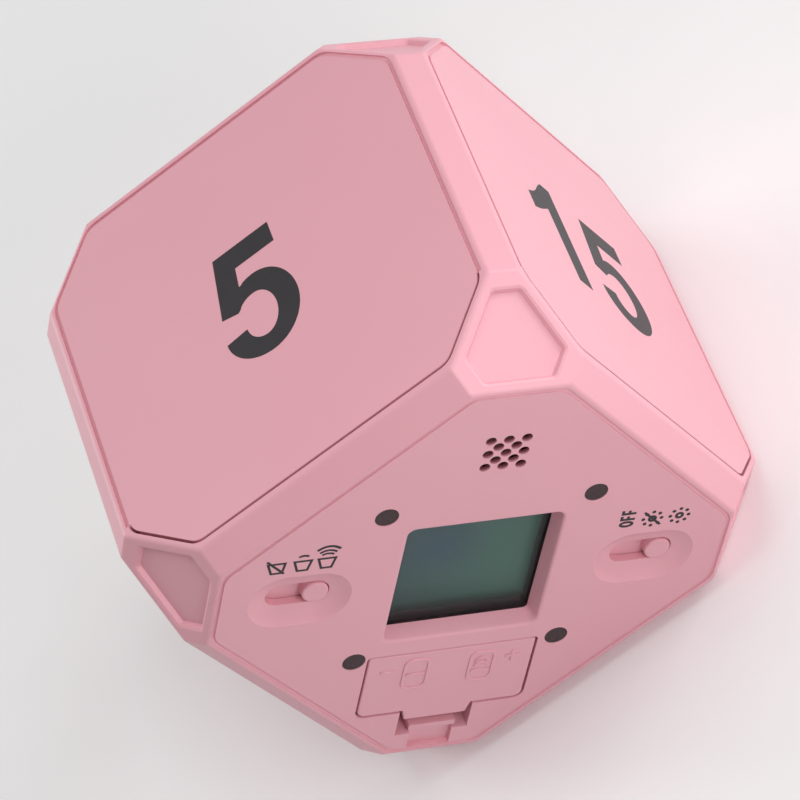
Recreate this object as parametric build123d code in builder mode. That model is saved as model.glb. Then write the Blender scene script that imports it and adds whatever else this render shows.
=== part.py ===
from build123d import *
import os
from math import atan, cos, degrees, radians, sin, sqrt

# A cube-shaped digital timer. +Z is up, the display face looks along -Y, and the timer stands on its
# lower number face. The origin is at the middle of that face. All sizes are in millimetres.

os.makedirs("parts", exist_ok=True)

# Housing block; its side follows further down from what lies along the display face's diagonal
edge_strip_inset = 3.0
corner_inset = 12.3
edge_round = 0.9
side_wall = 2.2
front_wall = 2.4
overrun = 5.0

# Outline that is marked on every face, and the seam and grooves that follow it
outline_inset = 4.2
outline_cut = 8.2
outline_round = 2.9
groove_width = 0.6
groove_depth = 0.35
seam_gap = 0.4
seam_setback = 1.0
lap_clearance = 0.1
skirt_thickness = 1.8
lip_length = 1.6
lip_thickness = 1.4
lip_clearance = 0.2
hollow_bevel = 0.6

# Sunk pads in the cut corners
pad_long_reach = 4.65
pad_short_reach = 6.2
pad_depth = 0.8
pad_slope = 0.4
pad_round = 0.5
pad_rim_reach = 0.25
pad_rim_slope = 0.5
pad_rim_depth = 0.25

# Closing screws and their rubber plugs
plug_radius = 1.55
plug_sink = 0.08
plug_length = 2.9
plug_clearance = 0.05
boss_radius = 2.3
boss_gap = 0.23
boss_depth = 11.0
shell_screw_seat = 7.2
shell_screw_length = 11.0
shell_screw_radius = 1.0
shell_screw_head_radius = 1.45
shell_screw_head_height = 1.3
screw_clearance = 0.05
screw_slot_width = 0.4
screw_slot_depth = 0.5
post_radius = 2.7
screw_hole_spare = 1.0
web_thickness = 1.6

# Display glass, the window before it and what lies behind it
glass_width = 22.4
glass_height = 23.4
glass_thickness = 0.9
glass_ledge = 2.6
glass_clearance = 0.15
holder_wall = 0.75
mask_thickness = 1.3
window_side_lap = 1.2
window_end_lap = 1.4
window_slope = 0.7
window_round = 1.3
window_edge_round = 0.5
window_edge_count = 8
lens_thickness = 1.0
lens_round = 1.0
rib_clearance = 0.15
rib_thickness = 0.8
rib_length = 8.0
rib_height = 1.8
guide_thickness = 2.3
guide_gap = 0.4
guide_clearance = 0.1
lamp_width = 3.0
lamp_height = 1.4
lamp_thickness = 1.1
lamp_spacing = 10.0
lamp_wall_gap = 0.5
lamp_guide_gap = 0.35
strip_inset = 1.0
strip_height = 1.8

# Main board, its screws and what is soldered to it
board_thickness = 1.2
board_gap = 1.03
board_tray_gap = 0.75
board_corner = 3.5
board_boss_u = 17.6
board_boss_inset = 4.4
board_boss_radius = 2.0
board_screw_radius = 0.85
board_screw_head_radius = 1.7
board_screw_head_height = 1.1
board_screw_length = 5.0
short_hole_spare = 0.4
board_notch_clearance = 0.5
blob_radius = 5.0
blob_height = 1.4
blob_round = 0.9
blob_u = -3.0
blob_v = 0.5
crystal_radius = 1.0
crystal_length = 6.0
crystal_u = 8.0
crystal_v = 6.5
capacitor_radius = 2.5
capacitor_height = 5.5
capacitor_round = 0.4
capacitor_u = 24.0
capacitor_v = 0.0
sensor_side = 5.4
sensor_height = 3.6
sensor_pin_length = 0.8
sensor_pin_width = 0.6
sensor_pin_spacing = 4.0
sensor_u = -23.5
sensor_v = 0.0
resistor_length = 2.0
resistor_width = 1.25
resistor_height = 0.6
resistor_count = 5
resistor_row_length = 8.8
resistor_u = 10.0
resistor_v = -2.0

# Sounder
sounder_corner_gap = 0.61
grille_pitch = 1.2
grille_hole_radius = 0.72
grille_wall = 0.75
sounder_radius = 7.5
gasket_thickness = 0.6
gasket_width = 1.5
sounder_frame_height = 3.2
sounder_frame_wall = 0.5
sounder_clearance = 0.15
collar_wall = 1.0
collar_height = 3.0
cone_thickness = 0.3
cone_sink = 1.4
cone_rim = 0.8
cone_dome_radius = 2.6
cone_dome_top = 1.2
cone_clearance = 0.2
magnet_radius = 4.2
magnet_height = 2.4
sounder_lead_spacing = 3.0
sounder_lead_run = 2.3
sounder_lead_bend = 1.0
sounder_lead_offset = 5.5
sounder_lead_inset = 2.9

# Slide switches and their knobs
switch_corner_gap = 0.31
switch_rib_gap = 1.3
dish_length = 13.9
dish_width = 9.6
dish_depth = 1.5
knob_radius = 1.8
knob_travel = 4.7
knob_top_depth = 0.9
knob_edge_round = 0.3
slot_clearance = 0.15
flange_half_length = 6.9
flange_half_width = 2.6
flange_thickness = 0.8
flange_clearance = 0.1
rail_half_length = 8.6
rail_thickness = 0.8
rail_height = 1.3
fork_clearance = 0.06
fork_leg = 1.0
fork_width = 2.4
fork_foot_clearance = 0.15
slider_width = 1.3
slider_top_clearance = 0.3
slider_base_length = 3.6
slider_base_height = 1.2
slider_clearance = 0.08
case_length = 10.4
case_width = 4.4
case_height = 3.2
case_wall = 0.35

# Battery bay, its door, the latch and the pocket for it
bay_half_width = 11.95
bay_gap = 1.2
bay_length = 12.6
bay_inner_round = 0.6
bay_outer_round = 1.5
door_gap = 0.3
door_thickness = 2.0
door_edge_round = 0.25
door_shift = 0.3
latch_shift = 0.6
tongue_half_width = 4.85
tongue_taper = 0.5
tongue_length = 1.6
latch_valley = 1.6
latch_leg_thickness = 0.9
latch_leg_half_width = 3.3
latch_leg_sink = 0.15
latch_drop = 4.4
latch_bend = 1.05
latch_room = 0.65
pocket_corner_gap = 1.016
pocket_depth = 5.9
pocket_wall = 1.0
pocket_gap = 0.3
scoop_half_width = 3.0
scoop_depth = 0.8
scoop_round = 0.6
tab_offset = 8.0
tab_width = 3.5
tab_reach = 0.8
tab_thickness = 1.0
tab_clearance = 0.15
tab_root = 1.4

# Battery tray, cells and contacts
cell_radius = 5.25
cell_length = 44.5
cell_nub_radius = 2.2
cell_nub_height = 1.2
cell_edge_round = 0.5
cell_pitch = 11.0
cell_start = 4.2
tray_start = 4.4
tray_clearance = 0.3
tray_wall = 1.1
tray_end_wall = 1.2
tray_spare = 2.3
ear_thickness = 1.6
ear_gap = 0.5
ear_shift = 0.5
ear_radius = 2.4
tray_boss_radius = 2.2
tray_screw_length = 4.2
contact_thickness = 0.35
contact_half_width = 2.6
contact_bend = 0.45
contact_drop = 4.1
contact_slot_clearance = 0.15
hump_half_length = 2.6
hump_half_top = 1.2
leaf_fall = 0.9
leaf_rise = 1.8
tag_half_width = 0.9
tag_rise = 1.5
tag_root = 0.85
door_contact_half_width = 1.9
door_contact_overhang = 1.1
lead_radius = 0.5
lead_clearance = 0.1
lead_bend = 0.9
lead_turn_run = 2.6
lead_inset = 2.0

# Sizes that follow from the ones above
diagonal = sqrt(2)
octagon_share = 2 - sqrt(2)
holder_width = glass_width + 2 * (glass_clearance + holder_wall)
holder_height = glass_height + 2 * (glass_clearance + holder_wall)
bay_inner_edge = holder_height / 2 + bay_gap
bay_outer_edge = bay_inner_edge + bay_length
cell_row_v = -(bay_inner_edge + bay_outer_edge) / 2
tongue_reach = bay_outer_edge + tongue_length
pocket_reach = tongue_reach + latch_valley + latch_leg_thickness + latch_room
switch_room = 2 * flange_half_length + knob_travel + switch_rib_gap + switch_corner_gap
switch_diagonal = holder_width / 2 + rib_clearance + rib_thickness + switch_room
latch_diagonal = pocket_reach + pocket_wall + pocket_corner_gap
inner_corner_reach = max(switch_diagonal, latch_diagonal)
corner_wall = (side_wall + pad_depth) * sqrt(3)
cube_side = inner_corner_reach * diagonal + corner_wall + edge_strip_inset + corner_inset - front_wall
half = cube_side / 2
face_side_half = half - corner_inset
outline_reach = half - outline_inset
seam_reach = face_side_half - seam_setback
lip_half_width = face_side_half - side_wall
plug_reach = (holder_width + holder_height) * diagonal / 4 + boss_radius + boss_gap
switch_reach = inner_corner_reach - switch_corner_gap - flange_half_length - knob_travel / 2
sounder_v = inner_corner_reach - sounder_corner_gap - sounder_radius - sounder_clearance - collar_wall
front_hollow_reach = half - side_wall - lap_clearance - skirt_thickness
corner_sum = half + (half - edge_strip_inset) + face_side_half
strip_sum = half + half - edge_strip_inset
inner_corner_sum = corner_sum - corner_wall
inner_strip_sum = strip_sum - side_wall * diagonal
rear_hollow_reach = half - side_wall
lens_back = front_wall + lens_thickness
glass_front = lens_back + mask_thickness
glass_back = glass_front + 2 * glass_thickness
board_depth = glass_back + guide_clearance + guide_thickness
board_back = board_depth + board_thickness
board_screw_seat = board_back - board_screw_length
strip_v = glass_height / 2 - glass_ledge / 2
guide_top_v = strip_v - strip_height / 2 - guide_gap
lamp_v = lamp_wall_gap + lamp_thickness / 2 - glass_height / 2 - glass_clearance
guide_bottom_v = lamp_v + lamp_thickness / 2 + lamp_guide_gap
rear_glass_height = glass_height - glass_ledge
rear_glass_v = -glass_ledge / 2
latch_inner_v = -tongue_reach + latch_leg_thickness / 2
latch_outer_v = -tongue_reach - latch_valley - latch_leg_thickness / 2
dish_radius = ((dish_width / 2) ** 2 + dish_depth**2) / (2 * dish_depth)
dish_lift = dish_radius - dish_depth
window_back_width = glass_width - 2 * window_side_lap
window_back_height = glass_height - 2 * window_end_lap
window_width = window_back_width + 2 * window_slope
window_height = window_back_height + 2 * window_slope
slot_half_width = knob_radius + slot_clearance
slot_half_length = slot_half_width + knob_travel / 2
flange_front = front_wall + flange_clearance
flange_back = flange_front + flange_thickness
fork_foot = board_depth - case_height - fork_foot_clearance
sounder_front = front_wall + gasket_thickness
sounder_back = sounder_front + sounder_frame_height
web_start = half - seam_reach + lip_length + lip_clearance
cell_end = cell_start + cell_length
tray_end = cell_end + tray_spare
tray_back = tray_end + tray_end_wall
tray_inner_radius = cell_radius + tray_clearance
tray_outer_radius = tray_inner_radius + tray_wall
tray_top_v = cell_row_v + tray_outer_radius
tray_bottom_v = cell_row_v - tray_outer_radius
board_half_height = -tray_top_v - board_tray_gap
board_half_width = (front_hollow_reach - board_gap) * diagonal - board_half_height + board_corner
board_boss_v = board_half_height - board_boss_inset
ear_offset = cell_pitch / 2 + tray_outer_radius + ear_gap + ear_radius
ear_v = cell_row_v - ear_shift
contact_low_v = cell_row_v - contact_drop
tag_top_v = tray_top_v + tag_rise
tag_root_v = tray_top_v - tag_root
lead_end_v = lead_inset - board_half_height
contact_base = tray_end - contact_thickness / 2
contact_touch = cell_end + contact_thickness / 2
door_contact_base = door_thickness + contact_thickness / 2
door_contact_touch = cell_start - contact_thickness / 2
door_half_width = bay_half_width - door_gap
door_inner_edge = bay_inner_edge + door_gap
door_outer_edge = bay_outer_edge - door_gap
notch_half_width = tongue_half_width + door_gap

middle = Vector(0, 0, half)
# The display face, upright: its X is the timer's X, its Y is the timer's Z
face = Plane(origin=(0, -half, half), x_dir=(1, 0, 0), z_dir=(0, -1, 0))
# The same face turned by an eighth, as everything on it is laid out: u reads to the right, v upwards
turned = Plane(origin=(0, -half, half), x_dir=(1, 0, -1), z_dir=(0, -1, 0))


# Two planes that stand on the turned layout: one shows v and height, one shows u and height
edge_on = Plane(origin=(0, -half, half), x_dir=(1, 0, 1), z_dir=(1, 0, -1))
end_on = Plane(origin=(0, -half, half), x_dir=(1, 0, -1), z_dir=(-1, 0, -1))


def turned_at(depth):
    """The turned layout plane at a depth below the display face"""
    return turned.offset(-depth)


def face_at(depth):
    """The upright display plane at a depth below the display face"""
    return face.offset(-depth)


def place(u, v, depth):
    """A point given by its turned layout position and its depth"""
    return turned.from_local_coords(Vector(u, v, -depth))


def side_plane(normal_x, normal_z):
    """A plane on one of the four faces round the Y axis, looking outwards"""
    origin = (normal_x * half, 0, half + normal_z * half)
    return Plane(origin=origin, x_dir=(0, 1, 0), z_dir=(normal_x, 0, normal_z))


side_planes = [side_plane(1, 0), side_plane(0, 1), side_plane(-1, 0), side_plane(0, -1)]
back_plane = Plane(origin=(0, half, half), x_dir=(1, 0, 0), z_dir=(0, 1, 0))
corners = [(x, y, z) for x in (-1, 1) for y in (-1, 1) for z in (-1, 1)]


def corner_plane(corner, plane_sum):
    """The plane that cuts off a corner of the cube, its Y pointing at the upper or lower face"""
    normal = Vector(*corner)
    origin = middle + normal * (plane_sum / 3)
    return Plane(origin=origin, x_dir=Vector(0, 0, corner[2]).cross(normal), z_dir=normal)


def cut_cube(width, depth, height, bevel, plane_sum, rounding):
    """A box at the middle of the timer with sloped edges and cut corners"""
    with BuildPart() as cube:
        with Locations(middle):
            Box(width, depth, height)
        chamfer(cube.edges(), length=bevel)
        for corner in corners:
            with BuildSketch(corner_plane(corner, plane_sum)):
                Rectangle(3 * cube_side, 3 * cube_side)
            extrude(amount=cube_side, mode=Mode.SUBTRACT)
        if rounding > 0:
            fillet(cube.edges(), radius=rounding)
    return cube.part


def face_outline(spread):
    """The rounded eight-sided outline, drawn larger by a spread on every side"""
    reach = outline_reach + spread
    with BuildSketch() as outline:
        Rectangle(2 * reach, 2 * reach)
        chamfer(outline.vertices(), length=outline_cut + spread * octagon_share)
        fillet(outline.vertices(), radius=outline_round + spread)
    return outline.sketch


def pad_outline(spread):
    """The six-sided outline of a corner pad, with three long and three short sides"""
    long_reach = pad_long_reach + spread
    short_reach = pad_short_reach + spread
    half_side = (2 * short_reach - long_reach) / sqrt(3)
    points = []
    for turn in (90, 210, 330):
        out = Vector(cos(radians(turn)), sin(radians(turn)))
        along = Vector(-sin(radians(turn)), cos(radians(turn)))
        points.append(out * long_reach - along * half_side)
        points.append(out * long_reach + along * half_side)
    with BuildSketch() as outline:
        Polygon(*points, align=None)
        fillet(outline.vertices(), radius=pad_round + spread)
    return outline.sketch


def pad_cutter(front):
    """The sunk shapes of the four corner pads at the front or at the back, each with a flatter slope at its rim"""
    with BuildPart() as cutter:
        for corner in corners:
            if (corner[1] < 0) == front:
                with BuildSketch(corner_plane(corner, corner_sum)):
                    add(pad_outline(pad_slope))
                extrude(amount=-pad_depth, taper=degrees(atan(pad_slope / pad_depth)))
                with BuildSketch(corner_plane(corner, corner_sum)):
                    add(pad_outline(pad_slope + pad_rim_reach))
                extrude(amount=-pad_rim_depth, taper=degrees(atan(pad_rim_slope / pad_rim_depth)))
    return cutter.part


def screw(plane, places, shaft_radius, shaft_length, head_radius, head_height):
    """Slotted screws with their heads standing on a plane and their shafts going down from it"""
    with BuildPart() as screws:
        with BuildSketch(plane):
            with Locations(*places):
                Circle(head_radius)
        extrude(amount=head_height)
        with BuildSketch(plane.offset(head_height)):
            with Locations(*places):
                Rectangle(3 * head_radius, screw_slot_width)
        extrude(amount=-screw_slot_depth, mode=Mode.SUBTRACT)
        with BuildSketch(plane):
            with Locations(*places):
                Circle(shaft_radius)
        extrude(amount=-shaft_length)
    return screws.part


block = cut_cube(cube_side, cube_side, cube_side, edge_strip_inset, corner_sum, edge_round)
front_hollow = cut_cube(
    2 * front_hollow_reach,
    2 * (half - front_wall),
    2 * front_hollow_reach,
    hollow_bevel,
    inner_corner_sum,
    0,
)
rear_hollow = cut_cube(
    2 * rear_hollow_reach,
    2 * rear_hollow_reach,
    2 * rear_hollow_reach,
    2 * rear_hollow_reach - inner_strip_sum,
    inner_corner_sum,
    0,
)
screw_places = [(plug_reach, 0), (0, plug_reach), (-plug_reach, 0), (0, -plug_reach)]
board_screw_places = [(u, v) for u in (-board_boss_u, board_boss_u) for v in (-board_boss_v, board_boss_v)]
tray_screw_places = [(-ear_offset, ear_v), (ear_offset, ear_v)]
switch_places = [(-switch_reach, 0), (switch_reach, 0)]

# Front shell
# One moulding: the display face with its edge strips and cut corners, and all that hangs behind the face
with BuildPart() as front_shell:
    add(block)
    split(bisect_by=Plane.XZ.offset(seam_reach), keep=Keep.TOP)
    add(front_hollow, mode=Mode.SUBTRACT)
    # window opening with sloped sides and a softened front edge
    with BuildSketch(turned):
        RectangleRounded(window_width, window_height, window_round)
    extrude(amount=-front_wall, taper=degrees(atan(window_slope / front_wall)), mode=Mode.SUBTRACT)
    face_edges = front_shell.edges().filter_by_position(Axis.Y, -half, -half)
    fillet(face_edges.sort_by_distance(turned.origin)[:window_edge_count], radius=window_edge_round)
    # steps that the rear shell's four tongues lie in
    for plane in side_planes:
        with BuildSketch(plane.offset(-side_wall - lap_clearance)):
            add(face_outline(seam_gap / 2))
        extrude(amount=side_wall + overrun, mode=Mode.SUBTRACT)
    # low lips that enter the rear shell and keep the two in line
    for plane in side_planes:
        with BuildSketch(plane.offset(-side_wall - lip_clearance)):
            with Locations((-seam_reach, 0)):
                Rectangle(2 * lip_length, 2 * lip_half_width)
        extrude(amount=-lip_thickness)
    # soft groove round the display face
    groove_path = face_outline(groove_width / 2).moved(face.location).wires()[0]
    with BuildSketch(Plane(origin=groove_path @ 0, z_dir=groove_path % 0)):
        Circle(groove_width / 2)
    sweep(path=groove_path, mode=Mode.SUBTRACT)
    add(pad_cutter(True), mode=Mode.SUBTRACT)
    # dished ovals and the slots of the two knobs
    with Locations(turned.offset(dish_lift)):
        with Locations(*switch_places):
            Cylinder(dish_radius, dish_length - dish_width, rotation=(0, 90, 0), mode=Mode.SUBTRACT)
            with GridLocations(dish_length - dish_width, 0, 2, 1):
                Sphere(dish_radius, mode=Mode.SUBTRACT)
    with BuildSketch(turned):
        with Locations(*switch_places):
            SlotOverall(2 * slot_half_length, 2 * slot_half_width)
    extrude(amount=-front_wall, mode=Mode.SUBTRACT)
    # sounder holes, three rows of three with two rows of two between them, in a wall made thinner from behind
    with BuildSketch(turned_at(grille_wall)):
        with Locations((0, sounder_v)):
            Circle(sounder_radius - gasket_width)
    extrude(amount=grille_wall - front_wall, mode=Mode.SUBTRACT)
    with BuildSketch(turned):
        with Locations((0, sounder_v)):
            with GridLocations(2 * grille_pitch, 2 * grille_pitch, 3, 3):
                Circle(grille_hole_radius)
            with GridLocations(2 * grille_pitch, 2 * grille_pitch, 2, 2):
                Circle(grille_hole_radius)
    extrude(amount=-front_wall, mode=Mode.SUBTRACT)
    # bosses for the closing screws, the board screws and the tray screws
    with BuildSketch(face_at(front_wall)):
        with Locations(*screw_places):
            Circle(boss_radius)
    extrude(amount=front_wall - boss_depth)
    with BuildSketch(turned_at(front_wall)):
        with Locations(*board_screw_places):
            Circle(board_boss_radius)
    extrude(amount=front_wall - board_depth)
    with BuildSketch(turned_at(front_wall)):
        with Locations(*tray_screw_places):
            Circle(tray_boss_radius)
    extrude(amount=front_wall - tray_start)
    # ribs round the window's back, rails beside the knobs' plates and the sounder's collar
    with BuildSketch(turned_at(front_wall)):
        with GridLocations(holder_width + 2 * rib_clearance + rib_thickness, 0, 2, 1):
            Rectangle(rib_thickness, rib_length)
        with GridLocations(0, holder_height + 2 * rib_clearance + rib_thickness, 1, 2):
            Rectangle(rib_length, rib_thickness)
    extrude(amount=-rib_height)
    with BuildSketch(turned_at(front_wall)):
        with Locations(*switch_places):
            with GridLocations(0, 2 * (flange_half_width + flange_clearance) + rail_thickness, 1, 2):
                Rectangle(2 * rail_half_length, rail_thickness)
    extrude(amount=-rail_height)
    with BuildSketch(turned_at(front_wall)):
        with Locations((0, sounder_v)):
            Circle(sounder_radius + sounder_clearance + collar_wall)
            Circle(sounder_radius + sounder_clearance, mode=Mode.SUBTRACT)
    extrude(amount=-collar_height)
    # walls of the latch pocket, open towards the battery bay
    pocket_top_v = tray_bottom_v - pocket_gap
    pocket_bottom_v = -pocket_reach - pocket_wall
    with BuildSketch(turned_at(front_wall)):
        with Locations((-latch_shift, (pocket_top_v + pocket_bottom_v) / 2)):
            Rectangle(2 * (notch_half_width + pocket_wall), pocket_top_v - pocket_bottom_v)
    extrude(amount=front_wall - pocket_depth - pocket_wall)
    # battery bay, the latch's notch and pocket, and the finger scoop
    with BuildSketch(turned) as bay_opening:
        with Locations((-door_shift, -(bay_inner_edge + bay_outer_edge) / 2)):
            Rectangle(2 * bay_half_width, bay_outer_edge - bay_inner_edge)
        fillet(bay_opening.vertices().group_by(Axis.Y)[0], radius=bay_outer_round)
        fillet(bay_opening.vertices().group_by(Axis.Y)[-1], radius=bay_inner_round)
    extrude(amount=-front_wall, mode=Mode.SUBTRACT)
    with BuildSketch(turned):
        with Locations((-latch_shift, -(bay_inner_edge + pocket_reach) / 2)):
            Rectangle(2 * notch_half_width, pocket_reach - bay_inner_edge)
    extrude(amount=-pocket_depth, mode=Mode.SUBTRACT)
    with BuildSketch(turned):
        with Locations((-latch_shift, -pocket_reach - pocket_wall)):
            RectangleRounded(2 * scoop_half_width, 4 * pocket_wall, scoop_round)
        with Locations((-latch_shift, -pocket_reach - 2 * pocket_wall)):
            Rectangle(2 * scoop_half_width, 2 * pocket_wall)
    extrude(amount=-scoop_depth, mode=Mode.SUBTRACT)
    # room for the plugs and screw heads, clearance holes and pilot holes
    with BuildSketch(face):
        with Locations(*screw_places):
            Circle(plug_radius + plug_clearance)
    extrude(amount=-shell_screw_seat, mode=Mode.SUBTRACT)
    with BuildSketch(face):
        with Locations(*screw_places):
            Circle(shell_screw_radius + screw_clearance)
    extrude(amount=-boss_depth, mode=Mode.SUBTRACT)
    with BuildSketch(turned_at(board_depth)):
        with Locations(*board_screw_places):
            Circle(board_screw_radius + screw_clearance)
    extrude(amount=board_depth - board_screw_seat + short_hole_spare, mode=Mode.SUBTRACT)
    with BuildSketch(turned_at(tray_start)):
        with Locations(*tray_screw_places):
            Circle(board_screw_radius + screw_clearance)
    extrude(amount=tray_screw_length - ear_thickness + short_hole_spare, mode=Mode.SUBTRACT)
front_shell.part.label = "front_shell"
export_step(front_shell.part, "parts/front_shell.step")

# Rear shell
# One moulding: four number faces, the back, their edges and corners, with tongues that reach forwards
with BuildPart() as rear_shell:
    add(block)
    split(bisect_by=Plane.XZ.offset(seam_reach), keep=Keep.BOTTOM)
    add(rear_hollow, mode=Mode.SUBTRACT)
    # tongues over the front shell's steps
    for plane in side_planes:
        with BuildSketch(plane.offset(-side_wall)):
            add(face_outline(-seam_gap / 2))
            with Locations((half - seam_reach, 0)):
                Rectangle(cube_side, cube_side, mode=Mode.SUBTRACT)
        extrude(amount=side_wall)
    # grooves on the number faces and the back
    for plane in side_planes:
        with BuildSketch(plane):
            add(face_outline(groove_width))
            add(face_outline(0), mode=Mode.SUBTRACT)
            with Locations((-half - seam_reach, 0)):
                Rectangle(cube_side, cube_side, mode=Mode.SUBTRACT)
        extrude(amount=-groove_depth, mode=Mode.SUBTRACT)
    with BuildSketch(back_plane):
        add(face_outline(groove_width))
        add(face_outline(0), mode=Mode.SUBTRACT)
    extrude(amount=-groove_depth, mode=Mode.SUBTRACT)
    add(pad_cutter(False), mode=Mode.SUBTRACT)
    # screw posts that rise from the back wall, each joined to a side wall by a web
    with BuildSketch(face_at(boss_depth)):
        with Locations(*screw_places):
            Circle(post_radius)
    extrude(amount=boss_depth + side_wall - cube_side)
    with BuildSketch(face_at(web_start)):
        with PolarLocations((plug_reach + rear_hollow_reach) / 2, 4):
            Rectangle(rear_hollow_reach - plug_reach, web_thickness)
    extrude(amount=web_start + side_wall - cube_side)
    with BuildSketch(face_at(boss_depth)):
        with Locations(*screw_places):
            Circle(shell_screw_radius + screw_clearance)
    extrude(amount=-shell_screw_length - screw_hole_spare, mode=Mode.SUBTRACT)
rear_shell.part.label = "rear_shell"
export_step(rear_shell.part, "parts/rear_shell.step")

# Screw plugs
# Four rubber plugs in the display face, over the closing screws
with BuildPart() as screw_plugs:
    with BuildSketch(face_at(plug_sink)):
        with Locations(*screw_places):
            Circle(plug_radius)
    extrude(amount=-plug_length)
screw_plugs.part.label = "screw_plugs"
export_step(screw_plugs.part, "parts/screw_plugs.step")

# Shell screws
# Four slotted screws that hold the two shells together
shell_screws = screw(
    face_at(shell_screw_seat),
    screw_places,
    shell_screw_radius,
    shell_screw_length,
    shell_screw_head_radius,
    shell_screw_head_height,
)
shell_screws.label = "shell_screws"
export_step(shell_screws, "parts/shell_screws.step")

# Window lens
# Clear sheet behind the window opening
with BuildPart() as window_lens:
    with BuildSketch(turned_at(front_wall)):
        RectangleRounded(holder_width, holder_height, lens_round)
    extrude(amount=-lens_thickness)
window_lens.part.label = "window_lens"
export_step(window_lens.part, "parts/window_lens.step")

# Display holder
# Dark frame round the display glass, clamped between the lens and the board
with BuildPart() as display_holder:
    with BuildSketch(turned_at(lens_back)):
        RectangleRounded(holder_width, holder_height, lens_round)
        RectangleRounded(window_back_width, window_back_height, window_round - window_slope, mode=Mode.SUBTRACT)
    extrude(amount=lens_back - board_depth)
    with BuildSketch(turned_at(glass_front)):
        Rectangle(glass_width + 2 * glass_clearance, glass_height + 2 * glass_clearance)
    extrude(amount=glass_front - board_depth, mode=Mode.SUBTRACT)
display_holder.part.label = "display_holder"
export_step(display_holder.part, "parts/display_holder.step")

# Display front glass
with BuildPart() as display_front_glass:
    with BuildSketch(turned_at(glass_front)):
        Rectangle(glass_width, glass_height)
    extrude(amount=-glass_thickness)
display_front_glass.part.label = "display_front_glass"
export_step(display_front_glass.part, "parts/display_front_glass.step")

# Display rear glass
# Shorter than the front one, which leaves a ledge for the contact strip
with BuildPart() as display_rear_glass:
    with BuildSketch(turned_at(glass_front + glass_thickness)):
        with Locations((0, rear_glass_v)):
            Rectangle(glass_width, rear_glass_height)
    extrude(amount=-glass_thickness)
display_rear_glass.part.label = "display_rear_glass"
export_step(display_rear_glass.part, "parts/display_rear_glass.step")

# Contact strip
# Striped rubber that joins the front glass's ledge to the board
with BuildPart() as contact_strip:
    with BuildSketch(turned_at(glass_front + glass_thickness)):
        with Locations((0, strip_v)):
            Rectangle(glass_width - 2 * strip_inset, strip_height)
    extrude(amount=glass_front + glass_thickness - board_depth)
contact_strip.part.label = "contact_strip"
export_step(contact_strip.part, "parts/contact_strip.step")

# Backlight guide
# Clear slab on the board behind the display, lit from its lower edge
with BuildPart() as backlight_guide:
    with BuildSketch(turned_at(board_depth)):
        with Locations((0, (guide_top_v + guide_bottom_v) / 2)):
            Rectangle(glass_width - guide_gap, guide_top_v - guide_bottom_v)
    extrude(amount=guide_thickness)
backlight_guide.part.label = "backlight_guide"
export_step(backlight_guide.part, "parts/backlight_guide.step")

# Backlight lamps
# Two small lamps on the board below the guide
with BuildPart() as backlight_lamps:
    with BuildSketch(turned_at(board_depth)):
        with Locations((0, lamp_v)):
            with GridLocations(lamp_spacing, 0, 2, 1):
                Rectangle(lamp_width, lamp_thickness)
    extrude(amount=lamp_height)
backlight_lamps.part.label = "backlight_lamps"
export_step(backlight_lamps.part, "parts/backlight_lamps.step")

# Main board
with BuildPart() as main_board:
    with BuildSketch(turned_at(board_depth)) as board_outline:
        Rectangle(2 * board_half_width, 2 * board_half_height)
        chamfer(board_outline.vertices(), length=board_corner)
        with GridLocations(plug_reach * diagonal, plug_reach * diagonal, 2, 2):
            Circle(boss_radius + board_notch_clearance, mode=Mode.SUBTRACT)
        with Locations(*board_screw_places):
            Circle(board_screw_radius + screw_clearance, mode=Mode.SUBTRACT)
    extrude(amount=-board_thickness)
main_board.part.label = "main_board"
export_step(main_board.part, "parts/main_board.step")

# Board screws
# Four small screws driven from behind the board
board_screws = screw(
    turned_at(board_back).reverse(),
    board_screw_places,
    board_screw_radius,
    board_screw_length,
    board_screw_head_radius,
    board_screw_head_height,
)
board_screws.label = "board_screws"
export_step(board_screws, "parts/board_screws.step")

# Controller blob
# Chip under a drop of black resin
with BuildPart() as controller_blob:
    with BuildSketch(turned_at(board_back)):
        with Locations((blob_u, blob_v)):
            Circle(blob_radius)
    extrude(amount=-blob_height)
    fillet(controller_blob.edges().group_by(Axis.Y)[-1], radius=blob_round)
controller_blob.part.label = "controller_blob"
export_step(controller_blob.part, "parts/controller_blob.step")

# Quartz crystal
# Small metal can lying on the board
with BuildPart() as quartz_crystal:
    with BuildSketch(edge_on.offset(crystal_u)):
        with Locations((crystal_v, -board_back - crystal_radius)):
            Circle(crystal_radius)
    extrude(amount=crystal_length)
quartz_crystal.part.label = "quartz_crystal"
export_step(quartz_crystal.part, "parts/quartz_crystal.step")

# Filter capacitor
# Upright can behind the board
with BuildPart() as filter_capacitor:
    with BuildSketch(turned_at(board_back)):
        with Locations((capacitor_u, capacitor_v)):
            Circle(capacitor_radius)
    extrude(amount=-capacitor_height)
    fillet(filter_capacitor.edges().group_by(Axis.Y)[-1], radius=capacitor_round)
filter_capacitor.part.label = "filter_capacitor"
export_step(filter_capacitor.part, "parts/filter_capacitor.step")

# Tilt sensor
# Tells the board which number face is on top; a box on four pins
with BuildPart() as tilt_sensor:
    with BuildSketch(turned_at(board_back + sensor_pin_length)):
        with Locations((sensor_u, sensor_v)):
            Rectangle(sensor_side, sensor_side)
    extrude(amount=-sensor_height)
    with BuildSketch(turned_at(board_back)):
        with Locations((sensor_u, sensor_v)):
            with GridLocations(sensor_pin_spacing, sensor_pin_spacing, 2, 2):
                Rectangle(sensor_pin_width, sensor_pin_width)
    extrude(amount=-sensor_pin_length)
tilt_sensor.part.label = "tilt_sensor"
export_step(tilt_sensor.part, "parts/tilt_sensor.step")

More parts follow.
